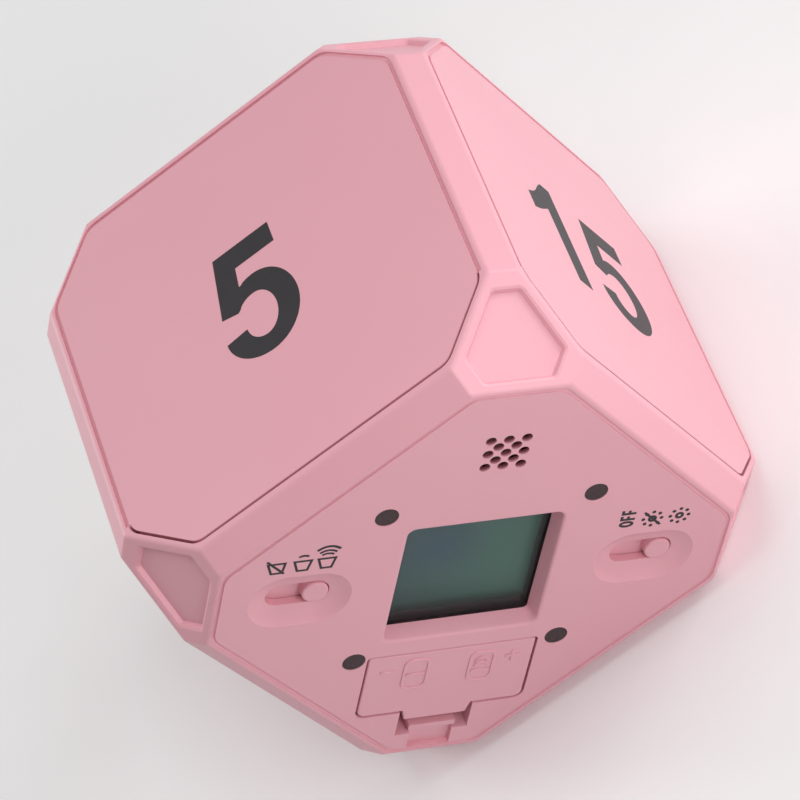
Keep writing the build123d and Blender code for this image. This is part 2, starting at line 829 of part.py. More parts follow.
# Chip resistors
with BuildPart() as chip_resistors:
    with BuildSketch(turned_at(board_back)):
        with Locations((resistor_u, resistor_v)):
            with GridLocations(0, resistor_row_length / (resistor_count - 1), 1, resistor_count):
                Rectangle(resistor_length, resistor_width)
    extrude(amount=-resistor_height)
chip_resistors.part.label = "chip_resistors"
export_step(chip_resistors.part, "parts/chip_resistors.step")

# Sounder gasket
# Foam ring between the sounder and the display face
with BuildPart() as sounder_gasket:
    with BuildSketch(turned_at(front_wall)):
        with Locations((0, sounder_v)):
            Circle(sounder_radius)
            Circle(sounder_radius - gasket_width, mode=Mode.SUBTRACT)
    extrude(amount=-gasket_thickness)
sounder_gasket.part.label = "sounder_gasket"
export_step(sounder_gasket.part, "parts/sounder_gasket.step")

# Sounder frame
# Thin steel cup with its open side towards the holes
with BuildPart() as sounder_frame:
    with BuildSketch(turned_at(sounder_front)):
        with Locations((0, sounder_v)):
            Circle(sounder_radius)
    extrude(amount=-sounder_frame_height)
    with BuildSketch(turned_at(sounder_front)):
        with Locations((0, sounder_v)):
            Circle(sounder_radius - sounder_frame_wall)
    extrude(amount=sounder_frame_wall - sounder_frame_height, mode=Mode.SUBTRACT)
sounder_frame.part.label = "sounder_frame"
export_step(sounder_frame.part, "parts/sounder_frame.step")

# Sounder cone
# Thin sheet with a domed middle, standing in the cup
with BuildPart() as sounder_cone:
    with BuildSketch(edge_on):
        with BuildLine():
            FilletPolyline(
                (sounder_v + sounder_radius - sounder_frame_wall - cone_clearance, -sounder_back + sounder_frame_wall),
                (sounder_v + sounder_radius - sounder_frame_wall - cone_clearance, -sounder_front - cone_sink),
                (sounder_v + cone_dome_radius, -sounder_front - cone_sink - cone_rim),
                (sounder_v + cone_dome_top, -sounder_front - cone_sink),
                (sounder_v, -sounder_front - cone_sink),
                radius=cone_thickness,
            )
        trace(line_width=cone_thickness)
    axis_origin = place(0, sounder_v, 0)
    revolve(axis=Axis(axis_origin, (0, 1, 0)))
sounder_cone.part.label = "sounder_cone"
export_step(sounder_cone.part, "parts/sounder_cone.step")

# Sounder magnet
with BuildPart() as sounder_magnet:
    with BuildSketch(turned_at(sounder_back)):
        with Locations((0, sounder_v)):
            Circle(magnet_radius)
    extrude(amount=-magnet_height)
sounder_magnet.part.label = "sounder_magnet"
export_step(sounder_magnet.part, "parts/sounder_magnet.step")

# Sounder leads
# Two wires from the cup's back over the board's upper edge to its back
with BuildPart() as sounder_leads:
    for u in (-sounder_lead_spacing / 2, sounder_lead_spacing / 2):
        with BuildLine() as sounder_route:
            FilletPolyline(
                place(u, sounder_v - sounder_lead_offset, sounder_back),
                place(u, sounder_v - sounder_lead_offset, board_back + sounder_lead_run),
                place(u, board_half_height - sounder_lead_inset, board_back + sounder_lead_run),
                place(u, board_half_height - sounder_lead_inset, board_back),
                radius=sounder_lead_bend,
            )
        sounder_wire = sounder_route.wires()[0]
        with BuildSketch(Plane(origin=sounder_wire @ 0, z_dir=sounder_wire % 0)):
            Circle(lead_radius)
        sweep(path=sounder_wire)
sounder_leads.part.label = "sounder_leads"
export_step(sounder_leads.part, "parts/sounder_leads.step")


def knob(switch_u):
    """A knob at the right end of its slot, with its plate behind the wall and its fork behind the plate"""
    rest_u = switch_u + knob_travel / 2
    with BuildPart() as body:
        with BuildSketch(turned_at(flange_front)):
            with Locations((rest_u, 0)):
                Rectangle(2 * flange_half_length, 2 * flange_half_width)
        extrude(amount=-flange_thickness)
        with BuildSketch(turned_at(flange_front)):
            with Locations((rest_u, 0)):
                Circle(knob_radius)
        extrude(amount=flange_front - knob_top_depth)
        fillet(body.edges().group_by(Axis.Y)[0], radius=knob_edge_round)
        with BuildSketch(turned_at(flange_back)):
            with Locations((rest_u, 0)):
                with GridLocations(slider_width + 2 * fork_clearance + fork_leg, 0, 2, 1):
                    Rectangle(fork_leg, fork_width)
        extrude(amount=flange_back - fork_foot)
    return body.part


def switch_case(switch_u):
    """The switch's metal case on the board, with a slot for the slider"""
    with BuildPart() as body:
        with BuildSketch(turned_at(board_depth)):
            with Locations((switch_u, 0)):
                Rectangle(case_length, case_width)
        extrude(amount=case_height)
        with BuildSketch(turned_at(board_depth)):
            with Locations((switch_u, 0)):
                Rectangle(case_length - 2 * case_wall, case_width - 2 * case_wall)
        extrude(amount=case_height - case_wall, mode=Mode.SUBTRACT)
        with BuildSketch(turned_at(board_depth)):
            with Locations((switch_u, 0)):
                Rectangle(slider_width + knob_travel + 2 * slider_clearance, slider_width + 2 * slider_clearance)
        extrude(amount=case_height, mode=Mode.SUBTRACT)
    return body.part


def switch_slider(switch_u):
    """The slider inside the switch's case, its lever standing up between the knob's fork legs"""
    rest_u = switch_u + knob_travel / 2
    with BuildPart() as body:
        with BuildSketch(turned_at(board_depth - slider_clearance)):
            with Locations((rest_u, 0)):
                Rectangle(slider_base_length, case_width - 2 * case_wall - 2 * slider_clearance)
        extrude(amount=slider_base_height)
        with BuildSketch(turned_at(board_depth - slider_clearance)):
            with Locations((rest_u, 0)):
                Rectangle(slider_width, slider_width)
        extrude(amount=board_depth - slider_clearance - flange_back - slider_top_clearance)
    return body.part


# Sound knob, switch case and slider
sound_knob = knob(-switch_reach)
sound_knob.label = "sound_knob"
export_step(sound_knob, "parts/sound_knob.step")
sound_switch_case = switch_case(-switch_reach)
sound_switch_case.label = "sound_switch_case"
export_step(sound_switch_case, "parts/sound_switch_case.step")
sound_switch_slider = switch_slider(-switch_reach)
sound_switch_slider.label = "sound_switch_slider"
export_step(sound_switch_slider, "parts/sound_switch_slider.step")

# Light knob, switch case and slider
light_knob = knob(switch_reach)
light_knob.label = "light_knob"
export_step(light_knob, "parts/light_knob.step")
light_switch_case = switch_case(switch_reach)
light_switch_case.label = "light_switch_case"
export_step(light_switch_case, "parts/light_switch_case.step")
light_switch_slider = switch_slider(switch_reach)
light_switch_slider.label = "light_switch_slider"
export_step(light_switch_slider, "parts/light_switch_slider.step")

# Battery door
# Plate with two hooks at its inner edge, and a springy U latch at its outer edge
with BuildPart() as battery_door:
    with BuildSketch(turned) as door_plate:
        with Locations((-door_shift, -(door_inner_edge + door_outer_edge) / 2)):
            Rectangle(2 * door_half_width, door_outer_edge - door_inner_edge)
        fillet(door_plate.vertices().group_by(Axis.Y)[0], radius=bay_outer_round - door_gap)
        fillet(door_plate.vertices().group_by(Axis.Y)[-1], radius=bay_inner_round - door_gap)
        with Locations((-latch_shift, 0)):
            Polygon(
                (-tongue_half_width, -door_outer_edge),
                (tongue_half_width, -door_outer_edge),
                (tongue_half_width - tongue_taper, -tongue_reach),
                (tongue_taper - tongue_half_width, -tongue_reach),
                align=None,
            )
    extrude(amount=-door_thickness)
    fillet(battery_door.faces().sort_by(Axis.Y)[0].edges(), radius=door_edge_round)
    with BuildSketch(edge_on.offset(-latch_shift)):
        with BuildLine():
            FilletPolyline(
                (latch_inner_v, -door_thickness / 2),
                (latch_inner_v, -latch_drop + latch_leg_thickness / 2),
                (latch_outer_v, -latch_drop + latch_leg_thickness / 2),
                (latch_outer_v, -latch_leg_sink),
                radius=latch_bend,
            )
        trace(line_width=latch_leg_thickness)
    extrude(amount=latch_leg_half_width, both=True)
    with BuildSketch(edge_on.offset(-tab_offset - tab_width / 2), edge_on.offset(tab_offset - tab_width / 2)):
        Polygon(
            (-door_inner_edge, -door_thickness),
            (-door_inner_edge, -front_wall - tab_clearance),
            (-bay_inner_edge + tab_reach, -front_wall - tab_clearance),
            (-bay_inner_edge + tab_reach, -front_wall - tab_clearance - tab_thickness),
            (-door_inner_edge - tab_root, -front_wall - tab_clearance - tab_thickness),
            (-door_inner_edge - tab_root, -door_thickness),
            align=None,
        )
    extrude(amount=tab_width)
battery_door.part.label = "battery_door"
export_step(battery_door.part, "parts/battery_door.step")

# Door contact
# Bent metal strip under the door that bridges the two cells
with BuildPart() as door_contact:
    cell_u = cell_pitch / 2
    with BuildSketch(end_on.offset(-cell_row_v)):
        with BuildLine():
            FilletPolyline(
                (-cell_u - hump_half_length - door_contact_overhang, -door_contact_base),
                (-cell_u - hump_half_length, -door_contact_base),
                (-cell_u - hump_half_top, -door_contact_touch),
                (-cell_u + hump_half_top, -door_contact_touch),
                (-cell_u + hump_half_length, -door_contact_base),
                (cell_u - hump_half_length, -door_contact_base),
                (cell_u - hump_half_top, -door_contact_touch),
                (cell_u + hump_half_top, -door_contact_touch),
                (cell_u + hump_half_length, -door_contact_base),
                (cell_u + hump_half_length + door_contact_overhang, -door_contact_base),
                radius=contact_bend,
            )
        trace(line_width=contact_thickness)
    extrude(amount=door_contact_half_width, both=True)
door_contact.part.label = "door_contact"
export_step(door_contact.part, "parts/door_contact.step")

# Battery tray
# Deep oval tube for two cells, screwed to the front shell by two ears
with BuildPart() as battery_tray:
    with BuildSketch(turned_at(tray_start)):
        with Locations((0, cell_row_v)):
            SlotCenterToCenter(cell_pitch, 2 * tray_outer_radius)
    extrude(amount=tray_start - tray_back)
    with BuildSketch(turned_at(tray_start)):
        with Locations((0, ear_v)):
            SlotCenterToCenter(2 * ear_offset, 2 * ear_radius)
    extrude(amount=-ear_thickness)
    with BuildSketch(turned_at(tray_start)):
        with Locations((0, cell_row_v)):
            SlotCenterToCenter(cell_pitch, 2 * tray_inner_radius)
    extrude(amount=tray_start - tray_end, mode=Mode.SUBTRACT)
    with BuildSketch(turned_at(tray_start)):
        with Locations(*tray_screw_places):
            Circle(board_screw_radius + screw_clearance)
    extrude(amount=-ear_thickness, mode=Mode.SUBTRACT)
    # slots in the upper wall through which the inner contacts were pushed in
    with BuildSketch(turned_at(tray_end)):
        with Locations((0, cell_row_v + tray_outer_radius / 2)):
            with GridLocations(cell_pitch, 0, 2, 1):
                Rectangle(2 * (contact_half_width + contact_slot_clearance), tray_outer_radius)
    extrude(amount=tray_spare + contact_slot_clearance, mode=Mode.SUBTRACT)
battery_tray.part.label = "battery_tray"
export_step(battery_tray.part, "parts/battery_tray.step")

# Tray screws
# Two small screws through the tray's ears
tray_screws = screw(
    turned_at(tray_start + ear_thickness).reverse(),
    [(u, -v) for u, v in tray_screw_places],
    board_screw_radius,
    tray_screw_length,
    board_screw_head_radius,
    board_screw_head_height,
)
tray_screws.label = "tray_screws"
export_step(tray_screws, "parts/tray_screws.step")


def cell(plane):
    """A round battery cell that stands on a plane with its nub away from it"""
    with BuildPart() as body:
        with BuildSketch(plane):
            Circle(cell_radius)
        extrude(amount=cell_length - cell_nub_height)
        fillet(body.edges(), radius=cell_edge_round)
        with BuildSketch(plane.offset(cell_length - cell_nub_height)):
            Circle(cell_nub_radius)
        extrude(amount=cell_nub_height)
    return body.part


# Left battery cell
# Its flat end faces the door
left_end = Plane(origin=place(-cell_pitch / 2, cell_row_v, cell_start), x_dir=(1, 0, 0), z_dir=(0, 1, 0))
battery_cell_left = cell(left_end)
battery_cell_left.label = "battery_cell_left"
export_step(battery_cell_left, "parts/battery_cell_left.step")

# Right battery cell
# Its nub faces the door
right_end = Plane(origin=place(cell_pitch / 2, cell_row_v, cell_end), x_dir=(1, 0, 0), z_dir=(0, -1, 0))
battery_cell_right = cell(right_end)
battery_cell_right.label = "battery_cell_right"
export_step(battery_cell_right, "parts/battery_cell_right.step")

# Plate contact
# Bent strip that meets the left cell's nub, its tag standing out above the tray
with BuildPart() as tray_plate_contact:
    with BuildSketch(edge_on.offset(-cell_pitch / 2)):
        with BuildLine():
            FilletPolyline(
                (contact_low_v, -contact_base),
                (cell_row_v - hump_half_length, -contact_base),
                (cell_row_v - hump_half_top, -contact_touch),
                (cell_row_v + hump_half_top, -contact_touch),
                (cell_row_v + hump_half_length, -contact_base),
                (tag_root_v, -contact_base),
                radius=contact_bend,
            )
        trace(line_width=contact_thickness)
    extrude(amount=contact_half_width, both=True)
    with BuildSketch(turned_at(tray_end)):
        with Locations((-cell_pitch / 2, (tag_root_v + tag_top_v) / 2)):
            Rectangle(2 * tag_half_width, tag_top_v - tag_root_v)
    extrude(amount=contact_thickness)
tray_plate_contact.part.label = "tray_plate_contact"
export_step(tray_plate_contact.part, "parts/tray_plate_contact.step")

# Spring contact
# Folded strip whose leaf presses on the right cell's flat end
with BuildPart() as tray_spring_contact:
    with BuildSketch(edge_on.offset(cell_pitch / 2)):
        with BuildLine():
            FilletPolyline(
                (tag_root_v, -contact_base),
                (contact_low_v, -contact_base),
                (contact_low_v, -contact_base + leaf_fall),
                (cell_row_v - hump_half_top, -contact_touch),
                (cell_row_v + hump_half_top, -contact_touch),
                (cell_row_v + hump_half_length, -contact_touch - leaf_rise / 2),
                radius=contact_bend,
            )
        trace(line_width=contact_thickness)
    extrude(amount=contact_half_width, both=True)
    with BuildSketch(turned_at(tray_end)):
        with Locations((cell_pitch / 2, (tag_root_v + tag_top_v) / 2)):
            Rectangle(2 * tag_half_width, tag_top_v - tag_root_v)
    extrude(amount=contact_thickness)
tray_spring_contact.part.label = "tray_spring_contact"
export_step(tray_spring_contact.part, "parts/tray_spring_contact.step")


def battery_lead(u):
    """A wire from a contact's tag along the tray's top to the board's back"""
    lead_v = tray_top_v + lead_clearance + lead_radius
    with BuildPart() as body:
        with BuildLine() as route:
            FilletPolyline(
                place(u, lead_v, tray_end - contact_thickness),
                place(u, lead_v, board_back + lead_turn_run),
                place(u, lead_end_v, board_back + lead_turn_run),
                place(u, lead_end_v, board_back),
                radius=lead_bend,
            )
        wire = route.wires()[0]
        with BuildSketch(Plane(origin=wire @ 0, z_dir=wire % 0)):
            Circle(lead_radius)
        sweep(path=wire)
    return body.part


# Positive lead
positive_lead = battery_lead(-cell_pitch / 2)
positive_lead.label = "positive_lead"
export_step(positive_lead, "parts/positive_lead.step")

# Negative lead
negative_lead = battery_lead(cell_pitch / 2)
negative_lead.label = "negative_lead"
export_step(negative_lead, "parts/negative_lead.step")
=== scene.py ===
from math import cos, radians, sin, sqrt

import bmesh
import bpy
from mathutils import Matrix, Vector


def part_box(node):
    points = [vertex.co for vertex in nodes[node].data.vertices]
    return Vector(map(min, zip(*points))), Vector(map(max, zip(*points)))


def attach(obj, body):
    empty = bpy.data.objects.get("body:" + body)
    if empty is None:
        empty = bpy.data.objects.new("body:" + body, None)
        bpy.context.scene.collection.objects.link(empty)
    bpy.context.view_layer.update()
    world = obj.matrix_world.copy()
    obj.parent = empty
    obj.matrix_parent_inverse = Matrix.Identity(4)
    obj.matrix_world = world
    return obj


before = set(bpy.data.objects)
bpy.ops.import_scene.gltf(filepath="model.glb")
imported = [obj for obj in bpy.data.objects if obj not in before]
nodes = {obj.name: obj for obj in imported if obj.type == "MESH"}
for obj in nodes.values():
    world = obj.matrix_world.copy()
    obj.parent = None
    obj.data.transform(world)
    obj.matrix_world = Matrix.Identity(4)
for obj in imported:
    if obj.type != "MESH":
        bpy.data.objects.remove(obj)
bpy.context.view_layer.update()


# Front shell
# One injection moulding in pink ABS, with the satin grain of a spark-eroded mould. Shade is painted dark
# red into its sounder holes, deeper inwards. All that the timer holds is clamped or screwed behind it.
half_side = 0.0325


def add(tree, kind, settings={}, inputs={}):
    """One node of a tree, with its settings and the inputs that nothing is linked to"""
    node = tree.nodes.new(kind)
    for name, value in settings.items():
        setattr(node, name, value)
    for name, value in inputs.items():
        node.inputs[name].default_value = value
    return node


def wire(tree, *links):
    """Links of a tree, each given as a node, its output, the next node and its input"""
    for source, output, target, socket in links:
        tree.links.new(source.outputs[output], target.inputs[socket])


def new_group(name, inputs, outputs):
    """An empty shader node group with named sockets, and its two end nodes"""
    group = bpy.data.node_groups.new(name, "ShaderNodeTree")
    for socket, (kind, value) in inputs.items():
        group.interface.new_socket(name=socket, in_out="INPUT", socket_type=kind).default_value = value
    for socket, kind in outputs.items():
        group.interface.new_socket(name=socket, in_out="OUTPUT", socket_type=kind)
    return group, group.nodes.new("NodeGroupInput"), group.nodes.new("NodeGroupOutput")


def mix_tints(tree, share, first, second):
    """A mix node for two colour sockets or colours, and its result socket"""
    mix = add(tree, "ShaderNodeMix", {"data_type": "RGBA"})
    for slot, source in ((0, share), (6, first), (7, second)):
        if isinstance(source, bpy.types.NodeSocket):
            tree.links.new(source, mix.inputs[slot])
        else:
            mix.inputs[slot].default_value = source
    return mix.outputs[2]


grain_inputs = {
    "Tint": ("NodeSocketColor", (0.8, 0.8, 0.8, 1)),
    "Second Tint": ("NodeSocketColor", (0.7, 0.7, 0.7, 1)),
    "Cloud Scale": ("NodeSocketFloat", 60.0),
    "Grain Scale": ("NodeSocketFloat", 4000.0),
    "Gloss Low": ("NodeSocketFloat", 0.4),
    "Gloss High": ("NodeSocketFloat", 0.5),
}
grain_outputs = {"Tint": "NodeSocketColor", "Roughness": "NodeSocketFloat", "Height": "NodeSocketFloat"}
moulded_grain, grain_in, grain_out = new_group("moulded_grain", grain_inputs, grain_outputs)
grain_place = add(moulded_grain, "ShaderNodeTexCoord")
grain_cloud = add(moulded_grain, "ShaderNodeTexNoise", {}, {"Detail": 2.0, "Roughness": 0.5})
grain_pits = add(moulded_grain, "ShaderNodeTexNoise", {}, {"Detail": 1.0, "Roughness": 0.6})
grain_gloss = add(moulded_grain, "ShaderNodeMapRange", {}, {"From Min": 0.3, "From Max": 0.7})
for noise, scale in ((grain_cloud, "Cloud Scale"), (grain_pits, "Grain Scale")):
    moulded_grain.links.new(grain_place.outputs["Object"], noise.inputs["Vector"])
    moulded_grain.links.new(grain_in.outputs[scale], noise.inputs["Scale"])
grain_tint = mix_tints(
    moulded_grain, grain_cloud.outputs["Fac"], grain_in.outputs["Tint"], grain_in.outputs["Second Tint"]
)
moulded_grain.links.new(grain_tint, grain_out.inputs["Tint"])
wire(
    moulded_grain,
    (grain_pits, "Fac", grain_gloss, "Value"),
    (grain_in, "Gloss Low", grain_gloss, "To Min"),
    (grain_in, "Gloss High", grain_gloss, "To Max"),
    (grain_gloss, "Result", grain_out, "Roughness"),
    (grain_pits, "Fac", grain_out, "Height"),
)


def surfaced(name, group, values, relief, plain):
    """A material whose tint, gloss and fine relief come from a surface group"""
    material = bpy.data.materials.new(name)
    material.use_nodes = True
    tree = material.node_tree
    shader = tree.nodes["Principled BSDF"]
    surface = add(tree, "ShaderNodeGroup", {"node_tree": group}, values)
    bump = add(tree, "ShaderNodeBump", {}, {"Strength": 1.0, "Distance": relief})
    wire(
        tree,
        (surface, "Tint", shader, "Base Color"),
        (surface, "Roughness", shader, "Roughness"),
        (surface, "Height", bump, "Height"),
        (bump, "Normal", shader, "Normal"),
    )
    for socket, value in plain.items():
        shader.inputs[socket].default_value = value
    return material


def moulded(name, tint, second_tint, cloud, grain, gloss, relief, plain={}):
    """A moulded, rubbery or lacquered finish: a clouded tint under a fine grain"""
    values = {
        "Tint": (*tint, 1), "Second Tint": (*second_tint, 1), "Cloud Scale": cloud, "Grain Scale": grain,
        "Gloss Low": gloss[0], "Gloss High": gloss[1],
    }
    return surfaced(name, moulded_grain, values, relief, plain)


def dress(material, *names):
    """Give CAD nodes their finish"""
    for name in names:
        nodes[name].data.materials.clear()
        nodes[name].data.materials.append(material)


pink_moulding = moulded(
    "pink_moulding", tint=(0.81, 0.400, 0.462), second_tint=(0.785, 0.380, 0.442), cloud=55,
    grain=3800, gloss=(0.38, 0.5), relief=0.000006, plain={"IOR": 1.46},
)
front_moulding = pink_moulding.copy()
front_moulding.name = "front_moulding"
front_tree = front_moulding.node_tree
front_shader = front_tree.nodes["Principled BSDF"]
front_place = add(front_tree, "ShaderNodeTexCoord")
front_split = add(front_tree, "ShaderNodeSeparateXYZ")
front_flat = add(front_tree, "ShaderNodeCombineXYZ")
# Painted shade: inside the sounder's disc the hole walls turn dark red, fully half a millimetre in.
grille_low, grille_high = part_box("sounder_gasket")
grille_middle = ((grille_low.x + grille_high.x) / 2, 0, (grille_low.z + grille_high.z) / 2)
grille_radius = 0.0052
shade_start, shade_full = 0.00005, 0.0005
painted_hole_shade = (0.30, 0.075, 0.10, 1)
grille_reach = add(front_tree, "ShaderNodeVectorMath", {"operation": "DISTANCE"}, {1: grille_middle})
grille_disc = add(front_tree, "ShaderNodeMath", {"operation": "LESS_THAN"}, {1: grille_radius})
hole_depth = add(
    front_tree, "ShaderNodeMapRange", {},
    {"From Min": shade_start - half_side, "From Max": shade_full - half_side},
)
hole_shade = add(front_tree, "ShaderNodeMath", {"operation": "MULTIPLY"})
wire(
    front_tree,
    (front_place, "Object", front_split, 0),
    (front_split, "X", front_flat, "X"),
    (front_split, "Z", front_flat, "Z"),
    (front_flat, 0, grille_reach, 0),
    (grille_reach, "Value", grille_disc, 0),
    (front_split, "Y", hole_depth, "Value"),
    (grille_disc, 0, hole_shade, 0),
    (hole_depth, "Result", hole_shade, 1),
)
front_pink = front_shader.inputs["Base Color"].links[0].from_socket
front_tint = mix_tints(front_tree, hole_shade.outputs[0], front_pink, painted_hole_shade)
front_tree.links.new(front_tint, front_shader.inputs["Base Color"])
dress(front_moulding, "front_shell")


# Window lens
# Clear acrylic sheet, 1 mm thick, laid behind the window opening. It is polished, with the faint haze
# that wiping leaves.
window_sheet = bpy.data.materials.new("window_sheet")
window_sheet.use_nodes = True
sheet_tree = window_sheet.node_tree
sheet_shader = sheet_tree.nodes["Principled BSDF"]
sheet_values = {"Base Color": (0.86, 0.95, 0.93, 1), "Transmission Weight": 1.0, "IOR": 1.24}
for socket, value in sheet_values.items():
    sheet_shader.inputs[socket].default_value = value
sheet_place = add(sheet_tree, "ShaderNodeTexCoord")
sheet_haze = add(sheet_tree, "ShaderNodeTexNoise", {}, {"Scale": 160.0, "Detail": 3.0})
sheet_gloss = add(
    sheet_tree, "ShaderNodeMapRange", {}, {"From Min": 0.4, "From Max": 0.8, "To Min": 0.01, "To Max": 0.03}
)
sheet_light = add(sheet_tree, "ShaderNodeLightPath")
sheet_through = add(sheet_tree, "ShaderNodeBsdfTransparent", {}, {"Color": (0.9, 0.94, 0.93, 1)})
sheet_either = add(sheet_tree, "ShaderNodeMixShader")
wire(
    sheet_tree,
    (sheet_place, "Object", sheet_haze, "Vector"),
    (sheet_haze, "Fac", sheet_gloss, "Value"),
    (sheet_gloss, "Result", sheet_shader, "Roughness"),
    (sheet_light, "Is Shadow Ray", sheet_either, 0),
    (sheet_shader, 0, sheet_either, 1),
    (sheet_through, 0, sheet_either, 2),
)
sheet_tree.links.new(sheet_either.outputs[0], sheet_tree.nodes["Material Output"].inputs["Surface"])
dress(window_sheet, "window_lens")


# Display holder
# Black moulded frame that keeps the display glass square behind the window. Its inner walls are what
# shows as a dark edge round the display.
black_moulding = moulded(
    "black_moulding", tint=(0.012, 0.012, 0.013), second_tint=(0.018, 0.018, 0.02), cloud=90,
    grain=3000, gloss=(0.42, 0.58), relief=0.000006,
)
dress(black_moulding, "display_holder")


# Display front glass and rear glass
# Two thin sheets with the liquid crystal between them. The front one has a dark polarising film on it,
# with a painted reflection, lighter and greener to the right and bluish left of its middle, and painted
# shade along two edges.
layout_turn = radians(-45)
layout_shift = half_side / sqrt(2)


def turned_place(tree):
    """Object coordinates turned with the layout. X reads a layout_shift too little, Z one too much"""
    place = add(tree, "ShaderNodeTexCoord")
    mapping = add(tree, "ShaderNodeMapping", {}, {"Rotation": (0, layout_turn, 0)})
    tree.links.new(place.outputs["Object"], mapping.inputs["Vector"])
    return mapping.outputs["Vector"]


def tint_over(material, share, second):
    """Put a second colour over a finish where a mask says so"""
    tree = material.node_tree
    target = tree.nodes["Principled BSDF"].inputs["Base Color"]
    under = target.links[0].from_socket
    tree.links.new(mix_tints(tree, share, under, second), target)


display_film = moulded(
    "display_film", tint=(0.014, 0.047, 0.046), second_tint=(0.013, 0.038, 0.052), cloud=70,
    grain=2600, gloss=(0.10, 0.125), relief=0.00000002, plain={"IOR": 1.3},
)
# Painted reflection: the film turns lighter and greener towards the right and bluish round a spot left of
# its middle.
painted_reflection_green, painted_reflection_blue, painted_reflection_share = (0.052, 0.132, 0.100, 1), (0.022, 0.048, 0.092, 1), 0.75
# Painted shade: the film darkens along its right and lower edges, where the holder's walls shade it.
painted_edge_shade = (0.008, 0.013, 0.013, 1)
green_start, green_full = -0.01102 - layout_shift, 0.01298 - layout_shift
reflection_middle = (-0.00362 - layout_shift, -0.029, 0.00192 + layout_shift)
reflection_core, reflection_reach = 0.0015, 0.0075
right_start, right_full = 0.0085 - layout_shift, 0.0115 - layout_shift
low_start, low_full = -0.0076 + layout_shift, -0.0108 + layout_shift
film_tree = display_film.node_tree
film_place = turned_place(film_tree)
film_split = add(film_tree, "ShaderNodeSeparateXYZ")
film_green_reflection = add(film_tree, "ShaderNodeMapRange", {}, {"From Min": green_start, "From Max": green_full})
film_reflection_distance = add(film_tree, "ShaderNodeVectorMath", {"operation": "DISTANCE"}, {1: reflection_middle})
film_blue_reflection = add(
    film_tree, "ShaderNodeMapRange", {},
    {"From Min": reflection_core, "From Max": reflection_reach, "To Min": painted_reflection_share, "To Max": 0.0},
)
film_right_shade = add(film_tree, "ShaderNodeMapRange", {}, {"From Min": right_start, "From Max": right_full})
film_low_shade = add(film_tree, "ShaderNodeMapRange", {}, {"From Min": low_start, "From Max": low_full})
film_edge_shade = add(film_tree, "ShaderNodeMath", {"operation": "MAXIMUM"})
film_tree.links.new(film_place, film_split.inputs[0])
film_tree.links.new(film_place, film_reflection_distance.inputs[0])
wire(
    film_tree,
    (film_split, "X", film_green_reflection, "Value"),
    (film_reflection_distance, "Value", film_blue_reflection, "Value"),
    (film_split, "X", film_right_shade, "Value"),
    (film_split, "Z", film_low_shade, "Value"),
    (film_right_shade, "Result", film_edge_shade, 0),
    (film_low_shade, "Result", film_edge_shade, 1),
)
tint_over(display_film, film_green_reflection.outputs["Result"], painted_reflection_green)
tint_over(display_film, film_blue_reflection.outputs["Result"], painted_reflection_blue)
tint_over(display_film, film_edge_shade.outputs[0], painted_edge_shade)
dress(display_film, "display_front_glass")
reflecting_film = moulded(
    "reflecting_film", tint=(0.30, 0.34, 0.30), second_tint=(0.24, 0.28, 0.25), cloud=300, grain=5000,
    gloss=(0.25, 0.4), relief=0.000002, plain={"Metallic": 0.6},
)
dress(reflecting_film, "display_rear_glass")


# Contact strip
# Silicone rubber with thin conducting layers, a stripe every half a millimetre along its length, pressed
# between the display glass's ledge and the board.
striped_rubber = moulded(
    "striped_rubber", tint=(0.30, 0.30, 0.32), second_tint=(0.26, 0.26, 0.28), cloud=300, grain=4000,
    gloss=(0.55, 0.7), relief=0.000004,
)
rubber_tree = striped_rubber.node_tree
stripe_wave = add(
    rubber_tree, "ShaderNodeTexWave", {"wave_profile": "SIN"}, {"Scale": 320.0, "Distortion": 0.0}
)
stripe_edge = add(rubber_tree, "ShaderNodeMapRange", {}, {"From Min": 0.45, "From Max": 0.55})
rubber_tree.links.new(turned_place(rubber_tree), stripe_wave.inputs["Vector"])
rubber_tree.links.new(stripe_wave.outputs["Fac"], stripe_edge.inputs["Value"])
conducting_black = (0.02, 0.02, 0.02, 1)
tint_over(striped_rubber, stripe_edge.outputs["Result"], conducting_black)
dress(striped_rubber, "contact_strip")


# Backlight guide and lamps
# A clear acrylic slab that spreads the light of two small white lamps over the back of the display. The
# lamps have a drop of yellow phosphor in their middle.
guide_acrylic = moulded(
    "guide_acrylic", tint=(0.80, 0.86, 0.86), second_tint=(0.72, 0.80, 0.80), cloud=200, grain=1400,
    gloss=(0.06, 0.2), relief=0.000004, plain={"Transmission Weight": 0.85, "IOR": 1.49},
)
dress(guide_acrylic, "backlight_guide")
lamp_body = moulded(
    "lamp_body", tint=(0.86, 0.85, 0.74), second_tint=(0.86, 0.72, 0.30), cloud=900, grain=3000,
    gloss=(0.25, 0.4), relief=0.000003,
)
dress(lamp_body, "backlight_lamps")


# Main board
# Glass-fibre board with green lacquer over thin copper tracks, which read as lighter lines, and small
# tinned dots where a track goes through. The board's cut edges show the bare yellowish fibre.
green_board = moulded(
    "green_board", tint=(0.012, 0.115, 0.045), second_tint=(0.010, 0.095, 0.040), cloud=70,
    grain=5000, gloss=(0.25, 0.4), relief=0.000003, plain={"Coat Weight": 0.3},
)
track_tint, dot_tint, fibre_tint = (0.030, 0.20, 0.075, 1), (0.42, 0.43, 0.40, 1), (0.42, 0.36, 0.17, 1)
dot_reach, face_slope = 0.085, 0.5
board_tree = green_board.node_tree
board_place = turned_place(board_tree)
track_pattern = add(
    board_tree, "ShaderNodeTexBrick", {"offset": 0.31, "squash": 1.0, "offset_frequency": 4},
    {
        "Scale": 1.0, "Mortar Size": 0.0002, "Mortar Smooth": 0.2, "Bias": 0.0,
        "Brick Width": 0.0173, "Row Height": 0.0012,
    },
)
track_flat = add(board_tree, "ShaderNodeSeparateXYZ")
